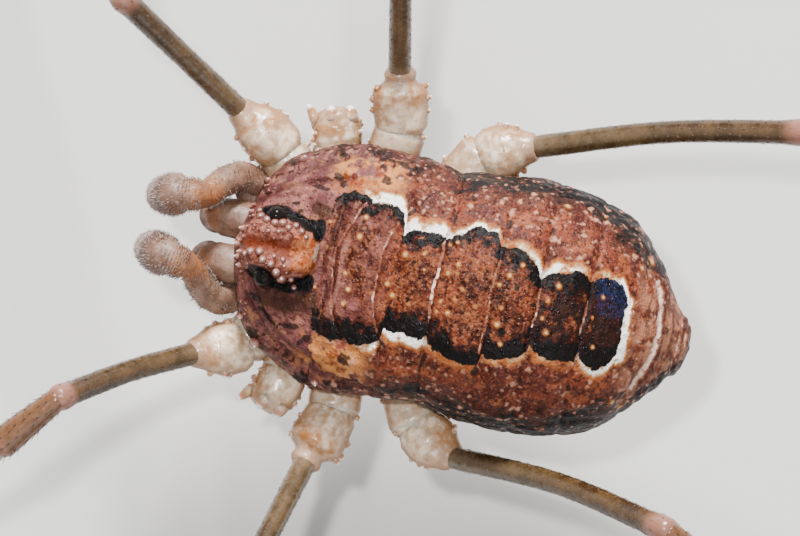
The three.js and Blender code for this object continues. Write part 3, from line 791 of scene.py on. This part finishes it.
    granules = s.step(0.34, 0.08, s.cells(13.0)[0])
    height = s.sum(s.times(fine, 0.8), s.times(grain, 0.25), s.times(granules, 0.4),
                   s.times(speck, 0.3))
    roughness = s.sum(s.step(0.3, 0.7, fine, 0.4, 0.54), s.times(granules, -0.38))
    return s.finish(Base_Color=base, Roughness=roughness, Normal=s.bump(height, 0.9, 0.035),
                    Specular_IOR_Level=0.13)


def mound_colours(s, base, along, side, fine, rough_edge):
    """The eye mound's brown groove, orange rear, white mark and black sides."""
    away = s.size(s.math("SUBTRACT", side, MOUND_X))
    rear = s.over((186, 100, 66), (0.42, 0.6, fine, 1, (226, 150, 114)))
    top = s.over(
        (112, 56, 44),
        (0.38, 0.6, fine, 1, (194, 128, 112)),
        (0.54, 0.66, s.noise(7.0, 4), 0.6, (222, 164, 150)),
        (0.2, 0.04, s.sum(away, s.times(rough_edge, 0.6)), 0.9, (128, 58, 34)),
        (-2.66, -2.5, s.sum(along, rough_edge), s.step(0.36, 0.22, away), rear),
    )
    mark_at = s.size(s.sum(along, 2.23, s.times(rough_edge, 0.3)))
    mark = s.times(s.step(0.17, 0.1, s.size(s.sum(side, 0.1))), 0.9)
    blot = s.sum(s.field("mound_blot"), s.times(rough_edge, 0.7))
    return s.over(
        s.mix(s.field("mound"), base, top),
        (0.055, 0.0, mark_at, mark, (248, 226, 206)),
        (0.2, 0.4, blot, 1, (58, 38, 34)),
        (0.34, 0.52, blot, 1, (17, 14, 15)),
    )


# The limbs, as the solids have them. Radii are those of the real animal, a little thinner.
ROOT_HEIGHT, HIP_HEIGHT, JOINT_HEIGHT, STUB_HEIGHT = 2.92, 3.3, 3.52, 3.38
PATELLA_DIP, TIBIA_DIP = math.radians(12), math.radians(42)
ANKLE_HEIGHT = 0.95
# The foot's line: shares of the tarsus and their heights
FOOT = [(0.13, 0.42 * ANKLE_HEIGHT), (0.32, 0.12), (0.62, 0.08), (0.96, 0.05)]
METATARSUS_RINGS, RING_SWELL = 6, 0.05
TARSUS_JOINT, JOINT_SWELL = 0.26, 0.07
FEMUR_SOCKET_RADIUS, SOCKET_RADIUS, BRISTLE_RADIUS = 0.019, 0.016, 0.009
CLAW_LENGTH, CLAW_RADIUS, CLAW_BEND = 0.16, 0.03, 0.25
LOWEST = 0.002
# The lengths of the segments past the joint
LEG_LENGTHS = {
    1: (3.0, 1.2, 2.7, 3.3, 5.0), 3: (3.1, 1.2, 2.8, 3.6, 5.5), 4: (4.5, 1.4, 3.6, 5.0, 7.0)
}
# Each leg's root, hip, joint and knee seen from above, its femur's bow and its heading in degrees
LEGS = {
    "leg_1_right": ((-0.45, -2.6), (-1.5, -3.06), (-1.93, -3.8), (-3.2, -5.9), 0, -141),
    "leg_1_left": ((0.45, -2.6), (1.5, -3.0), (1.76, -3.7), (2.83, -5.5), 0.05, -39),
    "leg_2_right": ((-0.38, -2.12), (-1.74, -2.25), (-2.2, -2.42)),
    "leg_2_left": ((0.38, -2.12), (1.78, -2.3), (2.27, -2.5)),
    "leg_3_right": ((-0.38, -1.62), (-2.2, -1.4), (-3.0, -1.6), (-5.15, -2.06), 0, -166),
    "leg_3_left": ((0.38, -1.62), (2.2, -1.48), (2.98, -1.72), (5.1, -2.27), 0, -16),
    "leg_4_right": ((-0.42, -1.1), (-2.1, -0.1), (-2.35, 0.56), (-3.44, 4.55), -0.12, 116),
    "leg_4_left": ((0.42, -1.1), (2.15, -0.2), (2.46, 0.38), (2.78, 3.73), -0.14, 61),
}
COXA_OUTLINE = [(0, 0.24), (0.45, 0.34), (0.8, 0.4), (0.96, 0.4), (1, 0.37)]
TROCHANTER_OUTLINE = [
    (0, 0.37), (0.05, 0.4), (0.3, 0.42), (0.56, 0.43), (0.66, 0.42), (0.72, 0.36), (0.78, 0.28),
    (0.84, 0.235), (0.9, 0.24), (0.95, 0.25), (1, 0.225),
]
CONE_OUTLINE = [
    (0, 0.36), (0.05, 0.39), (0.3, 0.42), (0.5, 0.41), (0.66, 0.36), (0.78, 0.3), (0.88, 0.255),
    (1, 0.22),
]
STUB_OUTLINE = [(0, 0.34), (0.3, 0.37), (0.7, 0.35), (1, 0.28)]
# Each segment's outline, its rows of bristles, and the gap between them and their length
SEGMENTS = {
    "femur": ([(0, 0.16), (0.04, 0.175), (0.5, 0.168), (0.9, 0.18), (0.97, 0.21), (1, 0.2)],
              9, 0.2, 0.055),
    "patella": ([(0, 0.17), (0.1, 0.18), (0.7, 0.23), (0.93, 0.24), (1, 0.2)], 9, 0.14, 0.13),
    "tibia": ([(0, 0.16), (0.05, 0.19), (0.5, 0.175), (0.93, 0.17), (1, 0.14)], 9, 0.17, 0.14),
    "metatarsus": ([(0, 0.11), (0.04, 0.12), (0.5, 0.1), (0.96, 0.1), (1, 0.085)], 7, 0.14, 0.12),
    "tarsus": ([(0, 0.075), (0.05, 0.085), (0.5, 0.065), (0.97, 0.045), (1, 0.04)], 6, 0.11, 0.1),
}
SOCKET_SHAPE = ((0.0, 1.0), (0.7, 0.75))
BRISTLE_SHAPE = ((0.0, 1.0), (0.6, 0.55))
HAIR_SHAPE = ((0.0, 1.0), (0.6, 0.6))
CLAW_SHAPE = ((0.0, 1.0), (0.6, 0.6), (0.88, 0.3))
TOOTH_SHAPE = ((0.0, 1.0), (0.4, 0.85), (0.7, 0.6), (0.9, 0.3))
DENTICLE_SHAPE = ((0.0, 1.0), (0.45, 0.8), (0.75, 0.55), (0.93, 0.28))
TUBERCLE_SHAPE = ((0.0, 1.35), (0.25, 1.05), (0.5, 0.74), (0.75, 0.44), (0.92, 0.2))


def leg_lines(lengths, joint, knee, bow, heading):
    """The centre line of each segment of a leg past its joint."""
    femur, patella, tibia, metatarsus, tarsus = lengths
    flat = Vector(knee) - Vector(joint)
    joint = Vector((*joint, JOINT_HEIGHT))
    knee = Vector((*knee, JOINT_HEIGHT + math.sqrt(femur**2 - flat.length**2)))
    aside = (knee - joint).cross(Vector((0, 0, 1))).normalized() * bow
    turn = math.radians(heading)
    ahead = Vector((math.cos(turn), math.sin(turn), 0))

    def onward(start, length, dip):
        return start + ahead * length * math.cos(dip) - Vector((0, 0, length * math.sin(dip)))

    shin = onward(knee, patella, PATELLA_DIP)
    heel = onward(shin, tibia, TIBIA_DIP)
    ankle = onward(heel, metatarsus, math.asin((heel.z - ANKLE_HEIGHT) / metatarsus))
    foot = [ankle]
    for share, height in FOOT:
        foot.append(Vector((*(ankle + ahead * tarsus * share).xy, height)))
    return {
        "femur": curve([joint, joint.lerp(knee, 0.5) + aside, knee], 0.04),
        "patella": curve([knee, shin], 0.04),
        "tibia": curve([shin, heel], 0.04),
        "metatarsus": curve([heel, ankle], 0.05),
        "tarsus": curve(foot, 0.05),
    }


def bristles_on(line, segment, start, total):
    """Dark sockets in rows along a segment, each with a short bristle that leans to the foot."""
    forward, upward, sideways = frames_along(line)
    length = reach(line)[-1]
    outline, rows, gap, long = SEGMENTS[segment]
    places = []
    for row in range(rows):
        at = np.arange(0.1, length - 0.08, gap) + rng.normal(0, 0.025, 1)
        at = at + rng.normal(0, 0.02, len(at)) + (row % 2) * gap / 2
        turn = 2 * math.pi * (row + 0.5) / rows + rng.normal(0, 0.08, len(at))
        places.append(np.stack([np.clip(at / length, 0.02, 0.98), turn], -1))
    share, turn = np.concatenate(places).T
    index = np.clip((share * (len(line) - 1)).round().astype(int), 0, len(line) - 1)
    out = unit(upward[index] * np.cos(turn)[:, None] + sideways[index] * np.sin(turn)[:, None])
    roots = line[index] + out * through(outline, share)[:, None]
    patch = np.stack([(start + share * length) / total, (turn / (2 * math.pi)) % 1.0], -1)
    size = FEMUR_SOCKET_RADIUS if segment == "femur" else SOCKET_RADIUS
    sockets = spikes(roots - out * 0.012, out, size, size, 6, SOCKET_SHAPE, patch=patch)
    lean = unit(out * 0.55 + forward[index])
    long = long * rng.uniform(0.7, 1.2, len(roots))
    roots = roots - out * 0.01
    return [sockets, spikes(roots, lean, long, BRISTLE_RADIUS, 3, BRISTLE_SHAPE, patch=patch)]


def make_leg(name, leg, materials):
    """The five segments of a walking leg past its trochanter, with their bristles and its claw."""
    number = int(name.split("_")[1])
    lengths = LEG_LENGTHS[number]
    start, pieces = 0.0, []
    for order, (segment, line) in enumerate(leg_lines(lengths, *leg[2:]).items()):
        t = np.linspace(0, 1, len(line))
        swell = 1.0
        if segment == "metatarsus":
            swell = 1 + RING_SWELL * hump((t * METATARSUS_RINGS) % 1 - 0.5, 0.08)
        if segment == "tarsus":
            swell = 1 + JOINT_SWELL * np.abs(np.sin(math.pi * t * lengths[order] / TARSUS_JOINT))
        rings, ends, share, top = tube(
            line, SEGMENTS[segment][0], 24, (0.5, 0.7), [(0.006, 9.0, number)], swell=swell
        )
        order_field = np.full(share.shape, float(order))
        skin = shell(rings, ends, share=share, top=top, segment=order_field)
        piece = make_object(f"{name}_{segment}_skin", skin)
        finished(piece, materials["leg"], "leg", f"{name}_{segment}")
        pieces += bristles_on(line, segment, start, sum(lengths))
        start += lengths[order]
    pieces.append(spikes([line[-1]], [line[-1] - line[-3]], CLAW_LENGTH, CLAW_RADIUS, 6, CLAW_SHAPE,
                         bend=CLAW_BEND, patch=np.array([[0.99, 0.5]])))
    for points, _, _ in pieces:
        points[:, 2] = np.maximum(points[:, 2], LOWEST)
    finished(make_object(f"{name}_bristles", *pieces), materials["bristle"], "leg")


def make_leg_base(name, leg, materials):
    """A leg's coxa and trochanter: a pale, glassy stump with denticles on each side."""
    side = 1 if name.endswith("left") else -1
    stub = name.startswith("leg_2")
    heights = (ROOT_HEIGHT, HIP_HEIGHT, STUB_HEIGHT if stub else JOINT_HEIGHT)
    root, hip, joint = (Vector((*place, height)) for place, height in zip(leg, heights))
    out = (joint - hip).normalized()
    coxa = curve([root, hip], 0.03)
    trochanter = curve([hip, joint + out * (0.02 if stub else 0.06)], 0.02)
    outer = TROCHANTER_OUTLINE if name.startswith("leg_3") else CONE_OUTLINE
    outer = STUB_OUTLINE if stub else outer
    shells = []
    for order, (line, outline) in enumerate([(coxa, COXA_OUTLINE), (trochanter, outer)]):
        rough = [(0.022, 2.6, order + 3.0 * side), (0.006, 9.0, 2.0)]
        rings, ends, share, top = tube(line, outline, 40, (0.35, 0.35), rough, 0.92)
        seam = hump((0.985 - share) * reach(line)[-1], 0.022) * (1 - order)
        shells.append(shell(rings, ends, share=share + order, tip=0 * share, seam=seam, top=top))
    if stub:
        shells.append(stub_teeth(np.array(joint), np.array(out), side))
    shells.append(denticles(coxa, COXA_OUTLINE, 0.5, 0.98, 0.6))
    shells.append(denticles(trochanter, outer, 0.3, 0.66, 1.6))
    piece = make_object(f"{name}_base_skin", *shells)
    finished(piece, materials["pale"], "pale_limb", f"{name}_coxa", f"{name}_trochanter")


def teeth(share, *spiked):
    """Spikes as a part of a leg's base, all at one share of it."""
    points, faces, values = spikes(*spiked)
    one = np.ones(len(points))
    return points, faces, {"share": share * one, **values, "seam": 0 * one, "top": one}


def stub_teeth(end, out, side):
    """The blunt orange-tipped teeth and the white thorn round the open end of a shed leg's stub."""
    across = unit(np.cross(out, (0, 0, 1))) * side
    up = np.array((0, 0, 1.0))
    roots, aims = [], []
    for aside, rise in ((-0.2, 0.1), (0.04, 0.14), (0.28, 0.0), (-0.1, -0.12)):
        roots.append(end + across * aside + up * rise - out * 0.1)
        aims.append(out + across * aside * 1.2 + up * rise)
    lengths, radii = (0.22, 0.25, 0.34, 0.2), (0.15, 0.15, 0.1, 0.12)
    return teeth(1.6, roots, aims, lengths, radii, 12, TOOTH_SHAPE)


def denticles(line, outline, first, last, at):
    """Short blunt teeth with orange tips, three along the front and the back of a leg's base."""
    forward, upward, sideways = frames_along(line)
    roots, directions = [], []
    for side in (-1, 1):
        for k in range(3):
            share = first + (last - first) * (k + 0.5 * rng.random()) / 2
            index = min(int(share * (len(line) - 1)), len(line) - 1)
            turn = side * (math.pi / 2 - rng.uniform(-0.25, 0.45))
            out = upward[index] * math.cos(turn) * 0.92 + sideways[index] * math.sin(turn)
            roots.append(line[index] + out * (through(outline, min(share, 1)) - 0.05))
            directions.append(out + forward[index] * 0.35)
    lengths, radii = rng.uniform(0.09, 0.13, len(roots)), rng.uniform(0.05, 0.075, len(roots))
    return teeth(at, roots, directions, lengths, radii, 8, DENTICLE_SHAPE)


# The palps and jaws: each segment's line on the left side, and its outline
PALP = {
    "femur": ([(0.82, -3.12, 3.2), (0.99, -3.58, 3.55), (0.59, -4.07, 4.1)],
              [(0, 0.2), (0.2, 0.22), (0.55, 0.23), (0.85, 0.21), (1, 0.18)]),
    "tibia": ([(0.59, -4.07, 4.1), (0.53, -4.4, 4.12), (0.47, -4.64, 3.72)],
              [(0, 0.2), (0.1, 0.235), (0.3, 0.24), (0.38, 0.22), (0.5, 0.3), (0.75, 0.31),
               (1, 0.27)]),
    "tarsus": ([(0.47, -4.64, 3.72), (0.46, -4.68, 3.2), (0.44, -4.52, 2.6)],
               [(0, 0.25), (0.2, 0.26), (0.7, 0.19), (1, 0.09)]),
}
PALP_LEFT_SHIFT = -0.09
JAW_BASE = ([(0.33, -3.1, 3.5), (0.34, -3.5, 3.5), (0.34, -3.85, 3.42)],
            [(0, 0.26), (0.4, 0.3), (0.8, 0.29), (1, 0.24)])
JAW_HAND = ([(0.34, -3.72, 3.5), (0.34, -3.84, 3.2), (0.32, -3.8, 2.75)],
            [(0, 0.22), (0.35, 0.28), (1, 0.18)])
CHEEK = ([(0.5, -3.0, 3.0), (0.72, -3.32, 3.2), (0.86, -3.48, 3.3)],
         [(0, 0.3), (0.6, 0.29), (1, 0.22)])
FINGER_OUTLINE = [(0, 0.1), (0.6, 0.075), (1, 0.03)]
FEMUR_HAIRS, HAIRS, HAIR_RADIUS = 500, 1300, 0.0065


def make_palp(side, materials):
    """A palp: three hairy segments that bend down in front of the jaws."""
    word = "left" if side > 0 else "right"
    shift = np.array([PALP_LEFT_SHIFT if side > 0 else 0, 0, 0])
    hairs = []
    for order, (segment, (points, outline)) in enumerate(PALP.items()):
        line = curve(np.array(points) * (side, 1, 1) + shift, 0.03)
        rough = [(0.025, 4.0, 7.0 * side), (0.012, 11.0, side)]
        rings, ends, share, _ = tube(line, outline, 32, (0.8, 0.8), rough)
        piece = make_object(f"palp_{word}_{segment}_skin", shell(rings, ends, share=share + order))
        finished(piece, materials["palp"], "pale_limb", f"palp_{word}_{segment}")
        forward, upward, sideways = frames_along(line)
        count = FEMUR_HAIRS if segment == "femur" else HAIRS
        index = rng.integers(2, len(line), count)
        turn = rng.uniform(0, 2 * math.pi, count)
        out = unit(upward[index] * np.cos(turn)[:, None] + sideways[index] * np.sin(turn)[:, None])
        radius = through(outline, np.linspace(0, 1, len(line)))[index]
        length = rng.uniform(0.04, 0.085, count)
        patch = np.stack([(order + index / len(line)) / 3, turn / (2 * math.pi)], -1)
        lean = out + forward[index] * rng.uniform(0.3, 0.9, (count, 1))
        roots = line[index] + out * (radius - 0.01)[:, None]
        hairs.append(spikes(roots, lean, length, HAIR_RADIUS, 3, HAIR_SHAPE, patch=patch))
    finished(make_object(f"palp_{word}_hairs", *hairs), materials["hair"], "pale_limb")


def make_jaw(side, materials):
    """A chelicera: a base, a hand that hangs from it, a cheek beside it and two fingers."""
    word = "left" if side > 0 else "right"
    shells = []

    def add(line, outline, spread, plus, around=32, caps=(0.6, 0.6), rough=()):
        rings, ends, share, _ = tube(line, outline, around, caps, rough)
        shells.append(shell(rings, ends, share=share * spread + plus))
        return line[-1]

    base, hand, cheek = (
        (curve(np.array(points) * (side, 1, 1), 0.03), outline)
        for points, outline in (JAW_BASE, JAW_HAND, CHEEK)
    )
    add(*base, 1, 0, rough=[(0.015, 4.0, side)])
    palm = add(*hand, 1, 0.5, rough=[(0.015, 4.0, side)])
    add(*cheek, 0.4, 2, caps=(0.6, 0.8), rough=[(0.02, 4.0, side)])
    for aside in (-0.1 * side, 0.1 * side):
        start = palm + (aside, 0, 0.1)
        bends = [start, start + (aside * 0.4, 0.03, -0.32), start + (-aside * 0.5, 0.08, -0.6)]
        add(curve(bends, 0.03), FINGER_OUTLINE, 0.3, 2, 16, (1.0, 1.0))
    piece = make_object(f"chelicera_{word}_skin", *shells)
    finished(piece, materials["palp"], "pale_limb", f"chelicera_{word}")


EYE_RADIUS = 0.15


def make_eye(word, material):
    """A glossy round eye on the side of the mound."""
    low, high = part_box(f"eye_{word}")
    bpy.ops.mesh.primitive_uv_sphere_add(segments=48, ring_count=32, radius=EYE_RADIUS * MM)
    eye = bpy.context.object
    eye.name = f"eye_{word}_ball"
    eye.location = (low + high) / 2
    bpy.ops.object.shade_smooth()
    finished(eye, material, "eye", f"eye_{word}")


# The tubercles of the eye mound and of the front margin: x, y and radius of each
TUBERCLES = [
    (-0.53, -3.2, 0.036), (-0.45, -3.16, 0.046), (-0.42, -3.05, 0.05), (-0.4, -2.93, 0.048),
    (-0.42, -2.82, 0.052), (-0.37, -2.72, 0.042), (-0.42, -2.62, 0.042), (-0.36, -2.52, 0.04),
    (-0.29, -2.44, 0.032), (-0.29, -2.85, 0.03), (-0.27, -3.0, 0.028),
    (0.13, -3.27, 0.034), (0.08, -3.19, 0.045), (0.06, -3.06, 0.05), (0.16, -2.99, 0.048),
    (0.2, -2.86, 0.045), (0.3, -2.76, 0.055), (0.37, -2.66, 0.056), (0.36, -2.52, 0.036),
    (0.47, -2.45, 0.034), (0.08, -2.84, 0.03), (0.1, -2.7, 0.034), (0.19, -2.66, 0.026),
    (-0.22, -3.36, 0.045), (0.02, -3.4, 0.045), (0.2, -3.36, 0.04), (0.32, -3.3, 0.04),
    (0.12, -3.34, 0.03), (-0.5, -3.3, 0.03), (1.4, -2.84, 0.06), (1.78, -1.85, 0.045),
    (-1.42, -2.72, 0.05), (-1.0, -3.18, 0.04), (1.06, -3.14, 0.045),
]
TUBERCLE_SCALE = 1.25
CREST_TUBERCLES, MARGIN_TUBERCLES = 36, 26
FRONT_MARGIN = -3.28


def make_tubercles(materials):
    """Pearly tubercles along both crests of the eye mound and on the front margin."""
    places = [(x, y, r * TUBERCLE_SCALE) for x, y, r in TUBERCLES]
    for _ in range(CREST_TUBERCLES):
        x = MOUND_X + rng.choice((-1, 1)) * rng.uniform(0.12, 0.42)
        places.append((x, rng.uniform(-3.3, -2.5), rng.uniform(0.012, 0.026)))
    for _ in range(MARGIN_TUBERCLES):
        x = rng.uniform(-1.1, 1.1)
        y = -3.42 + 0.24 * x * x + rng.uniform(0, 0.16)
        places.append((x, y, rng.uniform(0.018, 0.035)))
    roots = [on_back(x, y) - (0, 0, 0.02) for x, y, _ in places]
    radii = np.array([r for _, _, r in places])
    aims = [(0.35 * x, 0.25 * (y + 2.8) if y > FRONT_MARGIN else -0.9, 1) for x, y, _ in places]
    points, faces, values = spikes(roots, aims, radii * 2.4, radii, 12, TUBERCLE_SHAPE)
    # The listed tubercles get the full white tip, partly their own colour and partly a painted
    # highlight
    pearly = np.where(np.arange(len(places)) < len(TUBERCLES), 1.0, 0.7)
    values["tip"] = values["tip"] * np.repeat(pearly, len(points) // len(places))
    made = make_object("mound_tubercles", (points, faces, values))
    finished(made, materials["pearl"], "eye_mound")


def pale_material():
    """Cream, half-clear skin with amber toward each joint and orange tips."""
    s = Shader("pale_limb")
    share, tip = s.field("share"), s.field("tip")
    cloud, fine = s.noise(2.4), s.noise(9.0)
    outer = s.times(s.step(1.2, 1.66, share), s.step(1.9, 1.74, share), 0.8)
    base = s.over(
        (0.4, 0.26, 0.15),
        (0.35, 0.6, cloud, 1, (0.78, 0.6, 0.43)),
        (0.5, 0.66, fine, 0.4, (0.95, 0.85, 0.76)),
        (0.48, 0.34, fine, 0.4, (196, 134, 88)),
        (1.0, 0.9, share, 0.5, (0.42, 0.29, 0.19)),
        (0.36, 0.66, s.noise(3.0, 4), outer, (216, 138, 76)),
        (0.85, 0.3, s.field("top"), s.step(0.3, 0.55, fine, 0.5, 0.9), (200, 134, 78)),
        (1.76, 1.9, share, s.step(0.3, 0.6, fine, 0.4, 0.8), (204, 152, 116)),
        (0.06, 0.0, s.size(s.sum(cloud, -0.5)), 0.18, (184, 144, 116)),
        (0.3, 0.9, s.field("seam"), 0.8, (255, 250, 244)),
        (0.3, 0.7, tip, 0.75, (222, 150, 112)),
        (0.72, 0.92, tip, 1, (0.95, 0.84, 0.78)),
    )
    return s.finish(Base_Color=base, Roughness=s.step(0.3, 0.7, fine, 0.14, 0.36),
                    Normal=s.bump(s.sum(fine, cloud), 0.4, 0.03), **soft(0.35, 0.2, 0.55, 0.35))


def leg_material():
    """Grey olive-brown legs with orange knees, a painted highlight along the top and darker rings.
    """
    s = Shader("leg")
    share, top, segment = s.field("share"), s.field("top"), s.field("segment")
    cloud, fine = s.noise(3.0), s.noise(12.0)
    femur = s.step(0.5, 0.4, segment)
    patella = s.times(s.step(0.4, 0.5, segment), s.step(1.6, 1.5, segment))
    shin = s.step(1.5, 1.6, segment)
    brown = s.over((62, 40, 21), (0.35, 0.65, cloud, 1, (92, 64, 38)))
    base = s.over(
        (84, 66, 44),
        (0.35, 0.65, cloud, 1, (120, 97, 71)),
        (0.5, 0.7, fine, 0.4, (126, 101, 79)),
        (0.2, 0.85, share, s.times(femur, 0.9), brown),
        # Painted highlight: paler along the top of each segment
        (0.8, 1.0, top, 0.3, (150, 130, 110)),
        (0.16, 0.0, share, s.times(femur, 0.5), (176, 150, 124)),
    )
    base = s.mix(s.times(patella, s.step(0.3, 0.6, fine, 0.5, 0.9)), base, (150, 104, 78))
    knee = s.times(s.step(0.9, 0.97, share), femur)
    base = s.mix(s.most(knee, s.times(patella, s.step(0.82, 0.95, share))), base, (186, 136, 118))
    base = s.over(
        base,
        (0.03, 0.0, share, femur, (206, 176, 140)),
        (0.12, 0.02, share, shin, (206, 172, 130)),
        (0.66, 0.74, share, s.times(shin, s.step(0.96, 0.88, share), 0.7), (78, 50, 34)),
        (3.4, 3.6, segment, 0.6, (112, 78, 50)),
    )
    return s.finish(Base_Color=base, Roughness=s.step(0.3, 0.7, fine, 0.17, 0.34),
                    Normal=s.bump(fine, 0.35, 0.02), **soft(0.12, 0.1, 0.6, 0.35))


def palp_material():
    """Pinkish beige with orange joints."""
    s = Shader("palp")
    share = s.field("share")
    cloud, fine = s.noise(3.0), s.noise(10.0)
    joint = s.times(s.step(1.4, 1.2, share), s.step(0.3, 0.6, cloud), 0.85)
    base = s.over(
        (142, 104, 84),
        (0.35, 0.65, cloud, 1, (186, 152, 132)),
        (0.5, 0.7, fine, 0.4, (136, 104, 90)),
        (0.74, 0.95, share, joint, (188, 118, 74)),
        (1.5, 1.62, share, s.times(s.step(1.84, 1.7, share), 0.85), (96, 60, 50)),
        (1.86, 1.98, share, s.times(s.step(2.3, 2.1, share), 0.7), (220, 188, 176)),
    )
    return s.finish(Base_Color=base, Roughness=s.step(0.3, 0.7, fine, 0.4, 0.6),
                    Normal=s.bump(s.sum(fine, cloud), 0.6, 0.03), **soft(0.25, 0.2, 0.55, 0.35))


def bristle_material(name, dark, light):
    """Bristles that pale toward their tips."""
    s = Shader(name)
    base = s.over(dark, (0.2, 0.95, s.field("tip"), 1, light))
    return s.finish(Base_Color=s.mix(s.times(s.noise(6.0, 2), 0.3), base, light), Roughness=0.35)


def pearl_material():
    """Pinkish brown tubercles with white tips, partly their own pearly colour and partly a painted
    highlight.
    """
    s = Shader("pearl")
    tip = s.field("tip")
    base = s.over(
        s.mix(s.noise(6.0, 2), (132, 70, 56), (192, 128, 112)),
        (0.25, 0.75, tip, 0.85, (238, 192, 182)),
        # White tip: partly the tubercle's own pale colour, partly a painted highlight
        (0.86, 1.0, tip, 1, (0.95, 0.88, 0.84)),
    )
    return s.finish(Base_Color=base, Roughness=0.22, **soft(0.2, 0.1, 0.7, 0.6))


def eye_material():
    """Deep glossy black, faintly brown."""
    s = Shader("eye")
    base = s.mix(s.noise(5.0, 2), (0.004, 0.004, 0.005), (0.014, 0.009, 0.007))
    return s.finish(Base_Color=base, Roughness=0.07, Specular_IOR_Level=0.08)


def make_limbs():
    materials = {
        "pale": pale_material(),
        "leg": leg_material(),
        "palp": palp_material(),
        "bristle": bristle_material("bristle", (34, 24, 20), (120, 98, 80)),
        "hair": bristle_material("palp_hair", (196, 164, 150), (236, 218, 210)),
        "pearl": pearl_material(),
    }
    for name, leg in LEGS.items():
        make_leg_base(name, leg, materials)
        if len(leg) > 3:
            make_leg(name, leg, materials)
    for side in (-1, 1):
        make_palp(side, materials)
        make_jaw(side, materials)
    make_tubercles(materials)
    material = eye_material()
    for word in ("left", "right"):
        make_eye(word, material)


# Camera, floor and light
PHOTO_WIDTH, PHOTO_HEIGHT = 800, 536
PIXELS_PER_MM = 67.0
PHOTO_ROLL = math.radians(12.5)
BODY_RIGHT, BODY_DOWN = 461, 292
CAMERA_DISTANCE = 150.0
FOCUS_LEVEL = 4.9
SENSOR = 36.0
FLOOR_REACH = 1500.0
LIGHT_TARGET = Vector((0, 0, 4.5))
# Each light's place, size and power
LIGHTS = {
    "key": ((-150, -30, 100), 40, 1.1),
    "glint": ((-14, -22, 160), 7, 0.2),
    "fill": ((110, 60, 120), 160, 0.15),
}
WORLD_COLOUR, WORLD_STRENGTH = (0.9, 0.95, 1.0, 1), 0.33


def photo_direction(right, down):
    """A direction of the photograph, in pixels, as a direction of the animal's own frame."""
    along = right * math.cos(PHOTO_ROLL) + down * math.sin(PHOTO_ROLL)
    across = -right * math.sin(PHOTO_ROLL) + down * math.cos(PHOTO_ROLL)
    return Vector((across, along, 0))


def make_camera():
    """Straight above the animal, turned as in the photograph."""
    data = bpy.data.cameras.new("camera")
    camera = placed("camera", data)
    bpy.context.scene.camera = camera
    right, back = photo_direction(1, 0), Vector((0, 0, 1))
    middle = photo_direction(PHOTO_WIDTH / 2 - BODY_RIGHT, PHOTO_HEIGHT / 2 - BODY_DOWN)
    spot = (middle / PIXELS_PER_MM + HOME + back * (FOCUS_LEVEL + CAMERA_DISTANCE)) * MM
    turn = Matrix((right, back.cross(right), back)).transposed().to_4x4()
    camera.matrix_world = Matrix.Translation(spot) @ turn
    data.sensor_width = SENSOR
    data.lens = SENSOR * CAMERA_DISTANCE * PIXELS_PER_MM / PHOTO_WIDTH
    data.clip_start, data.clip_end = 0.005, 20


def make_floor():
    """A plain pale floor."""
    corners = [(-1, -1, 0), (1, -1, 0), (1, 1, 0), (-1, 1, 0)]
    floor = make_object("floor", (np.array(corners) * FLOOR_REACH, [[0, 1, 2, 3]], {}))
    floor.data.shade_flat()
    s = Shader("floor")
    shade = s.mix(s.noise(0.05, 2), (0.62, 0.61, 0.59), (0.66, 0.65, 0.63))
    floor.data.materials.append(s.finish(Base_Color=shade, Roughness=0.9))


def make_lights():
    """Soft square lights that face the animal and can't be seen themselves, and a pale world."""
    world = bpy.data.worlds.new("studio")
    bpy.context.scene.world = world
    world.use_nodes = True
    background = world.node_tree.nodes["Background"].inputs
    background["Color"].default_value = WORLD_COLOUR
    background["Strength"].default_value = WORLD_STRENGTH
    for name, (place, size, power) in LIGHTS.items():
        data = bpy.data.lights.new(name, "AREA")
        data.size, data.energy = size * MM, power
        light = placed(name, data)
        light.location = (Vector(place) + HOME) * MM
        light.rotation_euler = (LIGHT_TARGET - Vector(place)).to_track_quat("-Z", "Y").to_euler()
        light.visible_camera = False


make_camera()
make_floor()
make_lights()
make_trunk()
make_limbs()
